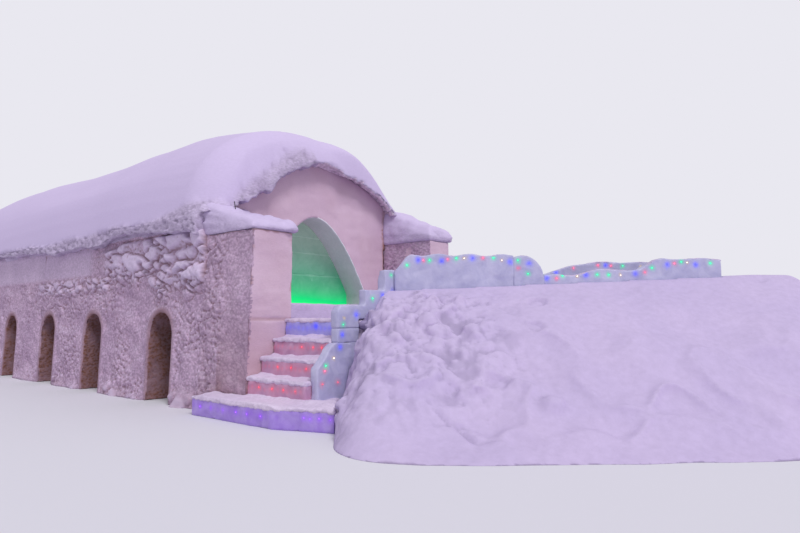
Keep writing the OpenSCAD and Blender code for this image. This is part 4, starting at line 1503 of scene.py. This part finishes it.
@dataclass
class IceRails:
    """Ice rails, end slab and balustrade, with their light strings and a brushed snow rim on top."""

    finishes: Finishes
    proud: float = 0.004
    strings: list[LightString] = field(default_factory=list)

    def rail_string(self, spots: Sequence[tuple[float, float, str]], t: float) -> LightString:
        """Returns a string whose points lie on a rail's face at t: s, height and tone key."""
        places = tuple(tuple(RUN.world(s, t, z).tolist()) for s, z, _ in spots)
        return LightString(places, tuple(TONE_KEYS[k] for _, _, k in spots))

    def flat_string(self, spots: Sequence[tuple[float, float, str]], y: float) -> LightString:
        """Returns a string whose points lie on the balustrade's face at y: x, height and tone key."""
        return LightString(tuple((x, y, z) for x, z, _ in spots), tuple(TONE_KEYS[k] for _, _, k in spots))

    def ice(self, name: str, string: LightString) -> None:
        """Builds one ice piece.

        Args:
            name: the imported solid's name.
            string: the light string that lights it.
        """
        def move(at: Points, out: Points) -> Points:
            """Returns the brushed ice's slight swell."""
            return 0.012 * NOISE.swell(at, 0.28, 2) + 0.003 * NOISE.swell(at, 0.07) - 0.004
        Mass(f"{name}_block", (name,), self.finishes.rail, "rail_ice", 0.024, move, glow=string.glow,
             soften=3, keep=0.5, grow=0.012).build()

    def build(self) -> None:
        """Builds every rail and remembers its strings."""
        face = RUN.rail_half + self.proud
        tall = self.rail_string([(0.21, 2.60, "G"), (0.41, 2.70, "B"), (0.5, 2.69, "P"), (0.61, 2.69, "G"),
                                 (0.83, 2.68, "B"), (0.93, 2.71, "P"), (1.09, 2.73, "G"), (1.23, 2.73, "W"),
                                 (1.38, 2.73, "B"), (1.57, 2.74, "P"), (1.76, 2.74, "G"), (1.91, 2.70, "W"),
                                 (2.06, 2.67, "B")], face)
        scroll = self.rail_string([(2.2, 2.70, "G"), (2.2, 2.56, "P"), (2.4, 2.64, "B"), (2.38, 2.46, "G")],
                                  face)
        low = self.rail_string([(2.72, 2.38, "B"), (2.9, 2.38, "P"), (3.01, 2.43, "G"), (3.28, 2.42, "W"),
                                (3.44, 2.44, "B"), (3.65, 2.45, "G"), (3.86, 2.45, "G"), (4.08, 2.44, "W"),
                                (4.35, 2.47, "B"), (4.53, 2.5, "P"), (4.67, 2.58, "G"), (4.96, 2.64, "B"),
                                (5.09, 2.66, "P"), (5.22, 2.69, "G"), (5.33, 2.68, "W"), (5.49, 2.64, "B"),
                                (5.77, 2.67, "G")], face)
        rear = self.rail_string([(2.9, 2.5, "G"), (3.2, 2.56, "B"), (3.55, 2.65, "P"), (4.04, 2.71, "P"),
                                 (4.2, 2.71, "B"), (4.3, 2.7, "P"), (4.54, 2.7, "G"), (4.9, 2.68, "W"),
                                 (5.2, 2.7, "B"), (5.5, 2.72, "G"), (5.8, 2.7, "P")], RUN.rear_t + face)
        y = RUN.corner_y - self.proud
        slab = self.flat_string([(-2.31, 1.2, "B"), (-2.44, 1.03, "W"), (-2.61, 0.92, "G"),
                                 (-2.63, 0.84, "P"), (-2.67, 0.64, "R"), (-2.35, 0.65, "R")], y)
        course = self.flat_string([(-2.26, 1.4, "B")], y)
        blocks = self.flat_string([(-2.23, 1.66, "W"), (-2.25, 1.56, "G"), (-1.95, 1.72, "B"),
                                   (-1.56, 2.0, "G"), (-1.31, 2.06, "B"), (-1.07, 2.1, "B"),
                                   (-1.1, 2.42, "G")], y)
        for name, string in (("landing_rail", tall), ("rail_scroll", scroll), ("walkway_rail_front", low),
                             ("walkway_rail_rear", rear), ("balustrade_slab", slab),
                             ("balustrade_course", course), ("balustrade_blocks", blocks)):
            self.ice(name, string)
            self.strings.append(string)
        rim = SweptRim(self.finishes.roof, 0.074, 0.020, 0.028)
        for name, t in (("landing_rail", 0.0), ("rail_scroll", 0.0), ("walkway_rail_front", 0.0),
                        ("walkway_rail_rear", RUN.rear_t)):
            rim.build(f"{name}_rim", rail_top(name, t, rim.half_height * 0.6), "roof_snow")


def rail_top(node: str, t: float, sink: float) -> list[Spot]:
    """Reads the line of a rail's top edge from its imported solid.

    Args:
        node: the rail's name.
        t: place of the line across the walkway.
        sink: how far the line lies below the edge.

    Returns:
        Points every 2 cm along the rail.
    """
    at, _ = mesh_points(frame["nodes"][node].data)
    s, _ = RUN.local(at)
    per_metre, foot = 50, at[:, 2].min() + 0.3
    tops: dict[int, float] = {}
    for along, z in zip(s, at[:, 2]):
        if z > foot:
            key = round(along * per_metre)
            tops[key] = max(tops.get(key, 0.0), z)
    return [tuple(RUN.world(k / per_metre, t, tops[k] - sink).tolist()) for k in sorted(tops)]


@dataclass(frozen=True)
class SweptRim:
    """A thin rim of snow or frost that follows a line of points."""

    finish: Material
    half_width: float
    half_height: float
    roughen: float

    @staticmethod
    def tree() -> Tree:
        """Returns a node tree that sweeps a flat round profile along a line and roughens it."""
        made, given = open_tree("swept_rim", Line="Geometry", Half_width="Float", Half_height="Float",
                                Roughen="Float", Finish="Material")
        line = made.add("GeometryNodeMeshToCurve", {"Mesh": given["Line"]})[0]
        even = made.add("GeometryNodeResampleCurve", {"Curve": line, "Length": 0.035}, mode="LENGTH")[0]
        level = made.add("GeometryNodeSetCurveNormal", {"Curve": even}, mode="Z_UP")[0]
        ring = made.add("GeometryNodeCurvePrimitiveCircle", {"Resolution": 14, "Radius": 1.0})[0]
        size = made.add("ShaderNodeCombineXYZ",
                        {"X": given["Half_width"], "Y": given["Half_height"], "Z": 1.0})[0]
        flat = made.add("GeometryNodeTransform", {"Geometry": ring, "Scale": size})[0]
        swept = made.add("GeometryNodeCurveToMesh",
                         {"Curve": level, "Profile Curve": flat, "Fill Caps": True})[0]
        rough = made.roughened(swept, given["Roughen"], 14.0, 3.0)
        soft = made.add("GeometryNodeSetShadeSmooth", {"Geometry": rough})[0]
        return made.close(soft, given["Finish"])

    def build(self, name: str, points: Sequence[Spot], slot: str) -> None:
        """Builds and mounts a rim.

        Args:
            name: the piece's name.
            points: the line that it follows.
            slot: the record's material slot.
        """
        line = bpy.data.meshes.new("line")
        line.from_pydata(list(points), [(i, i + 1) for i in range(len(points) - 1)], [])
        tree = bpy.data.node_groups.get("swept_rim") or self.tree()
        mesh = run_tree(tree, line, name, Half_width=self.half_width, Half_height=self.half_height,
                        Roughen=self.roughen, Finish=self.finish)
        mount(place(mesh, name, self.finish), slot)


@dataclass
class IceStair:
    """Ice risers with light strings frozen in, snow treads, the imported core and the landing."""

    finishes: Finishes
    rise: float = 0.33
    banked: float = 0.05
    droop: float = 0.02
    faint: float = 0.35
    proud: float = 0.002
    row_gap: float = 0.115
    strings: list[LightString] = field(default_factory=list)

    def riser(self, number: int, tone: LightTone, slot: str, spots: Sequence[Spot],
              strength: float) -> None:
        """Builds one riser block, glowing more towards its lights.

        Args:
            number: the step's number, from the foot.
            tone: colour of its string.
            slot: the record's material slot.
            spots: places of the lights that show.
            strength: how strongly the whole block glows.
        """
        string = LightString(tuple(spots), (tone,) * len(spots))
        low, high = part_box(f"step_{number}_ice")
        z = low.z + (high.z - low.z) * 0.62
        row = [(low.x - self.proud, y, z + 0.014 * math.sin(11 * y))
               for y in np.arange(low.y + 0.08, high.y, self.row_gap)]
        behind = LightString(tuple(row), (tone,) * len(row))
        colour = np.array(linear(tone.colour)[:3])

        def glow(at: Points) -> Points:
            """Returns the block's light: its string, a fainter row behind the snow, and an even glow."""
            base = strength * (0.5 + 0.5 * NOISE.swell(at, 0.3, 2))
            return string.glow(at) + self.faint * behind.glow(at) + np.clip(base, 0.01, 1)[:, None] * colour

        Mass(f"step_{number}_ice_block", (f"step_{number}_ice",), self.finishes.stair[tone], slot, 0.024,
             lambda at, out: 0.010 * NOISE.swell(at, 0.18, 2), glow=glow, soften=2, keep=0.8).build()
        self.strings.append(string)

    def tread(self) -> Move:
        """Returns the shaping of the treads: trodden tops, drooping edges, snow banked against each riser."""
        far = 9.0
        planes = np.array([far] + [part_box(f"step_{k}_ice")[0].x for k in range(2, 6)] + [far])

        def move(at: Points, out: Points) -> Points:
            """Returns how far each point of the treads moves, as vectors."""
            upper = ramp(out[:, 2], 0.2, 0.8)
            level = np.clip(np.round(at[:, 2] / self.rise), 0, 5).astype(int)
            reach = np.clip(planes[level] - at[:, 0], 0, 1)
            ahead = ramp(-out[:, 0] - out[:, 1] * 0.5, 0.1, 0.8)
            height = upper * 0.02 * NOISE.swell(at, 0.22, 2) + (1 - upper) * 0.02 * NOISE.clods(at, 0.11)
            shift = out * (height - 0.016 * ahead)[:, None]
            shift[:, 2] += upper * self.banked * np.exp(-reach / 0.07)
            shift[:, 2] -= ahead * self.droop * (0.5 + 0.9 * NOISE.swell(at * PLAN, 0.2, 2))
            return shift
        return move

    def build(self) -> None:
        """Builds risers, treads, core and landing."""
        f = self.finishes
        low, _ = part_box("step_1_ice")
        foot = [(-3.17, -3.73, 0.2), (-3.13, -3.82, 0.19), (-3.08, -3.96, 0.2), (-3.0, -4.12, 0.19)]
        front = [(low.x - self.proud, y, 0.17) for y in (-1.25, -1.6, -1.95, -2.3, -2.6, -2.95)]
        self.riser(1, LightTone.VIOLET, "purple_ice", foot + front, 0.07)
        for number, places in ((2, (-3.2, -2.9, -2.6, -2.25)), (3, (-3.34, -3.14, -2.75, -2.4)),
                               (4, (-2.99, -3.2, -2.7))):
            low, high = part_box(f"step_{number}_ice")
            z = low.z + (high.z - low.z) * 0.66
            self.riser(number, LightTone.RED, "red_ice", [(low.x - self.proud, y, z) for y in places], 0.07)
        low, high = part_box("step_5_ice")
        self.riser(5, LightTone.BLUE, "blue_ice", [(low.x - self.proud, -2.75, high.z - 0.08)], 0.05)
        Mass("step_treads_snow", ("step_treads",), f.trodden, "packed_snow", 0.024, self.tread(), soften=5,
             grow=0.028, keep=0.6).build()
        Mass("stair_core_snow", ("stair_core",), f.trodden, "packed_snow", 0.05,
             lambda at, out: np.full(len(at), -0.004), keep=0.6).build()
        Mass("landing_snow", ("landing",), f.trodden, "packed_snow", 0.07,
             lambda at, out: 0.02 * NOISE.swell(at, 0.3, 2) * ramp(out[:, 2], 0.3, 0.9)
             + 0.03 * ramp(out[:, 0], 0.3, 0.9) * NOISE.clods(at, 0.3), keep=0.8).build()


@dataclass
class IceScreen:
    """Sawn ice blocks that close the arch, with refrozen joints and green light at their foot."""

    finishes: Finishes
    joint: float = 0.008
    joint_set: float = 0.006
    splits: tuple[tuple[float, ...], ...] = ((-1.05, -0.38, 0.32, 0.92), (-0.72, -0.02, 0.62), (-0.4, 0.22),
                                             (-0.1,))
    foot_light: Spot = (0.0, 0.95, 0.24)
    body_light: Spot = (0.0, 0.115, 0.055)
    haze_light: Spot = (0.135, 0.15, 0.148)

    def lit(self, at: Points) -> Points:
        """Returns the green light inside the screen, strong at the foot and gone near the crown."""
        height = at[:, 2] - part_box("screen_course_1")[0].z
        foot = np.exp(-height / 0.23)[:, None] * self.foot_light
        body = np.exp(-(height / 1.1) ** 2)[:, None] * self.body_light
        haze = ramp(height, 0.5, 1.6)[:, None] * self.haze_light
        middle = 0.75 + 0.25 * np.exp(-((at[:, 0] + 0.25) / 0.8) ** 2)
        return (foot + body) * middle[:, None] + haze

    def outline(self, node: str) -> list[Pair]:
        """Reads a course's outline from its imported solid's front face.

        Args:
            node: the course's name.

        Returns:
            Corners in X and Z, in order round the middle.
        """
        at, _ = mesh_points(frame["nodes"][node].data)
        face = at[np.abs(at[:, 1] - at[:, 1].min()) < TOUCH][:, [0, 2]]
        spots = np.unique(face.round(4), axis=0)
        middle = spots.mean(axis=0)
        order = np.argsort(np.arctan2(spots[:, 1] - middle[1], spots[:, 0] - middle[0]))
        return [tuple(p) for p in spots[order]]

    @staticmethod
    def clipped(shape: list[Pair], low: float, high: float) -> list[Pair]:
        """Cuts a convex outline down to what lies between two upright lines.

        Args:
            shape: the outline in X and Z.
            low: X of the left line.
            high: X of the right line.

        Returns:
            The outline of what is left, empty where nothing is.
        """
        for limit, sign in ((low, 1), (high, -1)):
            kept: list[Pair] = []
            for (ax, az), (bx, bz) in zip(shape, shape[1:] + shape[:1]):
                a_in, b_in = sign * (ax - limit) >= 0, sign * (bx - limit) >= 0
                if a_in:
                    kept.append((ax, az))
                if a_in != b_in:
                    share = (limit - ax) / (bx - ax)
                    kept.append((limit, az + share * (bz - az)))
            shape = kept
        return shape

    @staticmethod
    def slab(work: bmesh.types.BMesh, shape: Sequence[Pair], front: float, back: float, inset: float) -> None:
        """Adds an upright slab to the mesh under work.

        Args:
            work: the mesh under work.
            shape: outline in X and Z.
            front: Y of the front face.
            back: Y of the rear face.
            inset: how far the outline shrinks on every side.
        """
        middle = np.mean(shape, axis=0)
        half = np.ptp(np.array(shape), axis=0) / 2
        inner = middle + (np.array(shape) - middle) * (1 - inset / np.maximum(half, 0.05))
        ring = [work.verts.new((x, front, z)) for x, z in inner]
        made = bmesh.ops.extrude_face_region(work, geom=[work.faces.new(ring)])
        moved = [v for v in made["geom"] if isinstance(v, bmesh.types.BMVert)]
        bmesh.ops.translate(work, vec=(0, back - front, 0), verts=moved)

    def build(self) -> None:
        """Builds the four courses and the refrozen ice behind their joints."""
        behind = bmesh.new()
        for number, splits in enumerate(self.splits, 1):
            node = f"screen_course_{number}"
            low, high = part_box(node)
            shape = self.outline(node)
            self.slab(behind, shape, low.y + self.joint_set, high.y - self.joint_set, -TOUCH)
            edges = (low.x - 0.1, *splits, high.x + 0.1)
            work = bmesh.new()
            for left, right in zip(edges, edges[1:]):
                piece = self.clipped(shape, left, right)
                if len(piece) > 2:
                    self.slab(work, piece, low.y, high.y, self.joint)
            Mass(f"{node}_blocks", (node,), self.finishes.screen, "screen_ice", 0.018,
                 lambda at, out: 0.006 * NOISE.swell(at, 0.25, 2), glow=self.lit, soften=1, keep=0.55,
                 base=closed(work, bpy.data.meshes.new(node))).build()
        Mass("screen_joint_frost", (), self.finishes.joint, "screen_ice", 0.03,
             lambda at, out: np.zeros(len(at)), glow=self.lit, soften=0, keep=0.6,
             base=closed(behind, bpy.data.meshes.new("frost"))).build()


# ---------------------------------------------------------------- the bank


@dataclass
class SnowBank:
    """The shovelled bank round the walkway: lumps by the balustrade, soft swells beyond, a thin ragged foot.

    S and t are places on the walkway's own axes.
    """

    finishes: Finishes
    crest: float = 2.17
    rise: float = 0.27
    toe: float = 0.97
    rails_end: float = 5.97
    end: float = 8.92
    end_len: float = 1.7
    front_w: float = 3.95
    rear_w: float = 2.4
    rounding: float = 1.3
    floor_z: float = 1.65
    below: float = 0.2
    cell: float = 0.06
    tuck: float = 0.05
    lump_height: float = 0.14
    slab_height: float = 0.09
    shelf_s: Limits = (0.0, 0.8, 5.5, 7.0)
    shelf_t: Limits = (2.1, 2.8, 3.4, 3.8)

    def pull(self, t: Points) -> Points:
        """Reckons how far the bank's ends draw in towards its long sides, so that its corners are round.

        Args:
            t: places across the walkway.

        Returns:
            Metres, one for each place.
        """
        half = RUN.rail_half
        over = np.maximum(t - half - self.front_w + self.rounding,
                          RUN.rear_t - half - self.rear_w + self.rounding - t)
        over = np.clip(over, 0, self.rounding)
        return self.rounding - np.sqrt(self.rounding ** 2 - over ** 2)

    def height(self, s: Points, t: Points) -> Points:
        """Reckons the bank's height.

        Args:
            s: places along the walkway.
            t: places across it.

        Returns:
            Metres above the ground, one for each place.
        """
        half = RUN.rail_half
        ahead = (t - half) / self.front_w
        behind = (RUN.rear_t - half - t) / self.rear_w
        side = np.clip(np.maximum(ahead, behind), 0, 1)
        slope = 0.55 * (1 - side) + 0.45 * (0.5 + 0.5 * np.cos(np.pi * side))
        crest = self.crest + self.rise * np.clip(s / self.rails_end, 0, 1.1)
        pulled = self.pull(t)
        near = 1 - (1 - np.clip(s - pulled + self.toe, 0, 1)) ** 3
        far = ramp(self.end - s - pulled, 0, self.end_len)
        return crest * slope * near * far

    def walked(self, s: Points, t: Points) -> Points:
        """Returns 1 on the walkway's floor between the rails and 0 elsewhere."""
        inner = band(t, (RUN.rear_t - 0.05, RUN.rear_t - 0.02, 0.02, 0.05))
        return inner * ramp(s, self.rails_end, self.rails_end - 0.03)

    def chunky(self, s: Points, t: Points) -> Points:
        """Returns how far the snow lies in lumps: near the balustrade, where the shovel stopped."""
        return ramp(s, 2.6, 0.3) * ramp(t, 3.6, 1.9) * ramp(t, 0.1, 0.5)

    def solid(self) -> Mesh:
        """Returns the bank as a closed mesh that reaches below the ground."""
        half = RUN.rail_half
        rows = np.linspace(RUN.rear_t - half - self.rear_w, half + self.front_w,
                           int((self.front_w + self.rear_w + 1.1) / self.cell))
        starts = np.maximum(self.pull(rows) - self.toe, -rows / math.tan(RUN.turn) - self.tuck)
        ends = self.end - self.pull(rows)
        count = int((self.end + self.toe) / self.cell)
        share = np.linspace(0, 1, count)
        s = starts[:, None] + (ends - starts)[:, None] * share[None, :]
        t = np.repeat(rows[:, None], count, axis=1)
        z = self.height(s, t)
        flat = RUN.world(s, t, 0).reshape(-1, 3)
        ragged = (0.025 + 0.03 * NOISE.swell(flat, 0.9, 3)).reshape(z.shape)
        z = z - ragged * np.exp(-z / 0.12)
        walked = self.walked(s, t)
        z = z * (1 - walked) + self.floor_z * walked
        verts = RUN.world(s, t, z).reshape(-1, 3)
        lines = len(rows)
        grid = np.arange(lines * count).reshape(lines, count)
        rim = np.concatenate([grid[0], grid[1:, -1], grid[-1, -2::-1], grid[-2:0:-1, 0]]).tolist()
        size, ring = len(verts), len(rim)
        base = verts[rim] * (1, 1, 0) - (0, 0, self.below)
        quads = np.stack([grid[:-1, :-1], grid[1:, :-1], grid[1:, 1:], grid[:-1, 1:]], axis=-1).reshape(-1, 4)
        faces = [tuple(q) for q in quads.tolist()]
        faces += [(rim[k], rim[(k + 1) % ring], size + (k + 1) % ring, size + k) for k in range(ring)]
        faces.append(tuple(size + k for k in range(ring)))
        mesh = bpy.data.meshes.new("bank")
        mesh.from_pydata(np.vstack([verts, base]).tolist(), [], faces)
        work = bmesh.new()
        work.from_mesh(mesh)
        return closed(work, mesh)

    def strewn(self, kind: Clods, cover: Callable[[Points, Points], Points], sink: float) -> Mesh:
        """Scatters clods over the slope.

        Args:
            kind: their sizes.
            cover: how densely they lie, for places s and t.
            sink: how deep their middles lie below the slope.

        Returns:
            The clods as one mesh.
        """
        rows, count = 74, 130
        t, s = np.meshgrid(np.linspace(0.12, 3.85, rows), np.linspace(-0.85, 7.0, count), indexing="ij")
        s, t = s.ravel(), t.ravel()
        s = np.maximum(s, -t + 0.16)
        at = RUN.world(s, t, self.height(s, t) - sink)
        heaped = ramp(NOISE.swell(at, 0.7, 2), -0.2, 0.5)
        face = face_mesh(at, rows, count, cover(s, t) * (0.15 + 0.85 * heaped), 0.6 + 0.4 * heaped)
        return kind.scatter(face, self.finishes.bank)

    def clods(self) -> tuple[Mesh, ...]:
        """Returns the clods that lie half sunk where the shovel stopped."""
        return (self.strewn(Clods(0.30, 0.11, 0.22, 0.12, 17, flat=0.7),
                            lambda s, t: 0.8 * self.chunky(s, t - 0.1), 0.05),)

    @staticmethod
    def lumps(at: Points) -> Points:
        """Returns the shovelled lumps' height, 0 in the pits between them and 1 on the crowns."""
        flat = at * (1, 1, 0.3) + 0.08 * NOISE.swell(at * PLAN, 0.5, 2)[:, None]
        large, middle, small = NOISE.clods(flat, 0.42, 0.8), NOISE.clods(flat, 0.20), NOISE.clods(flat, 0.09)
        return 0.55 * large + 0.3 * middle + 0.15 * small

    def weather(self, at: Points, out: Points) -> Points:
        """Returns the height of the drifts, swells and lumps on the bank's upper side."""
        s, t = RUN.local(at)
        upper = ramp(out[:, 2], -0.3, 0.2) * ramp(at[:, 2], 0.0, 0.3)
        chunky = self.chunky(s, t)
        foot = ramp(t, 0.7, 2.6)
        bent = at + 0.25 * NOISE.swell(at + 3.0, 1.1, 2)[:, None]
        ridge = (1 - np.abs(NOISE.swell(bent * (1, 1, 0.7), 1.25, 2))) ** 3
        body = (0.05 + 0.06 * foot) * NOISE.swell(at, 1.6, 3) + (0.02 + 0.08 * foot) * ridge
        body += 0.010 * NOISE.swell(at, 0.35, 2)
        prints = 0.06 * ramp(NOISE.clods(at + 5.0, 1.2, 0.2), 0.3, 0.9) * (1 - chunky)
        walked = band(t, (RUN.rear_t - 0.12, RUN.rear_t - 0.02, 0.02, 0.12)) * ramp(s, 6.1, 5.95)
        trod = 0.015 * NOISE.swell(at, 0.25, 2)
        by_rail = ramp(t, 0.06, 0.5) + ramp(t, -1.0, -1.5)
        lumps = self.lump_height * chunky * (self.lumps(at) - 0.55)
        shelf = band(t, self.shelf_t) * band(s, self.shelf_s)
        flat = at * (1, 1, 0.4) + 0.12 * NOISE.swell(at * PLAN, 0.6, 2)[:, None]
        slabs = self.slab_height * shelf * ramp(NOISE.swell(at * PLAN, 1.1), 0.05, 0.45)
        slabs *= NOISE.slabs(flat, 0.5, 0.35)
        return upper * ((1 - walked) * by_rail * (body - 0.04 + lumps + slabs - prints) + walked * trod)

    def pit_shade(self, at: Points, out: Points) -> Points:
        """Returns painted shade between the shovelled lumps: how deep each point lies between them."""
        s, t = RUN.local(at)
        return 0.6 * self.chunky(s, t) * ramp(self.lumps(at), 0.42, 0.08)

    def build(self) -> None:
        """Builds the bank as one piece."""
        Mass("bank_snow", ("bank_front", "bank_rear", "bank_end", "walkway_floor"), self.finishes.bank,
             "bank_snow", 0.042, self.weather, self.pit_shade, extra=self.clods(), base=self.solid(), soften=3,
             keep=0.6, pit_shade=0.4, trim=True).build()


# ---------------------------------------------------------------- studio


@dataclass
class Studio:
    """Pale floor, even sky light and the camera at the photograph's place."""

    lens: float = 27.9
    place: Spot = (-9.19, -10.88, 1.60)
    turn: Spot = (95.115, 0.0, -48.76)
    key_turn: Spot = (40.0, 0.0, -22.0)
    key_power: float = 1.6
    key_spread: float = 20.0
    sky_power: float = 0.66
    sensor: float = 36.0
    sight: float = 500.0
    floor_half: float = 150.0

    def camera(self) -> None:
        """Adds the camera."""
        data = bpy.data.cameras.new("camera")
        data.lens = self.lens
        data.sensor_width = self.sensor
        data.clip_end = self.sight
        made = linked("camera", data)
        made.location = self.place
        made.rotation_euler = [math.radians(a) for a in self.turn]
        bpy.context.scene.camera = made

    def floor(self) -> None:
        """Adds the plain pale floor."""
        mesh = bpy.data.meshes.new("floor")
        half = self.floor_half
        corners = [(-half, -half, 0), (half, -half, 0), (half, half, 0), (-half, half, 0)]
        mesh.from_pydata(corners, [], [(0, 1, 2, 3)])
        made, tree, shader = started("studio_floor")
        tree.feed(shader, {"Base Color": linear("#d9d7e0"), "Roughness": 0.95, "Specular IOR Level": 0.1})
        place(mesh, "floor", made)

    def light(self) -> None:
        """Sets an even sky and one broad soft key."""
        world = bpy.data.worlds.new("studio")
        bpy.context.scene.world = world
        world.use_nodes = True
        world.node_tree.nodes.clear()
        tree = Recipe(world.node_tree)
        rays = tree.add("ShaderNodeLightPath")
        seen = tree.value("MAXIMUM", rays["Is Camera Ray"], rays["Is Transmission Ray"])
        sky = tree.add("ShaderNodeBackground", {"Color": linear("#f4f3fa"), "Strength": self.sky_power})[0]
        backdrop = tree.add("ShaderNodeBackground", {"Color": linear("#e9e8f0"), "Strength": 1.0})[0]
        both = tree.add("ShaderNodeMixShader", {0: seen, 1: sky, 2: backdrop})[0]
        tree.add("ShaderNodeOutputWorld", {0: both})
        data = bpy.data.lights.new("key", "SUN")
        data.energy = self.key_power
        data.angle = math.radians(self.key_spread)
        linked("key", data).rotation_euler = [math.radians(a) for a in self.key_turn]

    def build(self) -> None:
        """Builds the studio and sets the plain view."""
        self.camera()
        self.floor()
        self.light()
        bpy.context.scene.view_settings.view_transform = "Standard"


def main() -> None:
    """Builds the building's looks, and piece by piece."""
    logging.basicConfig(level=logging.INFO, format="%(name)s %(message)s")
    Studio().build()
    finishes = Finishes()
    walls = SideWalls(finishes)
    walls.build()
    RoofDrift(finishes).build()
    GableFront(finishes).build(walls)
    IceScreen(finishes).build()
    stair = IceStair(finishes)
    stair.build()
    rails = IceRails(finishes)
    rails.build()
    LightPoints(finishes).build(rails.strings + stair.strings)
    SnowBank(finishes).build()


if __name__ == "__main__":
    main()
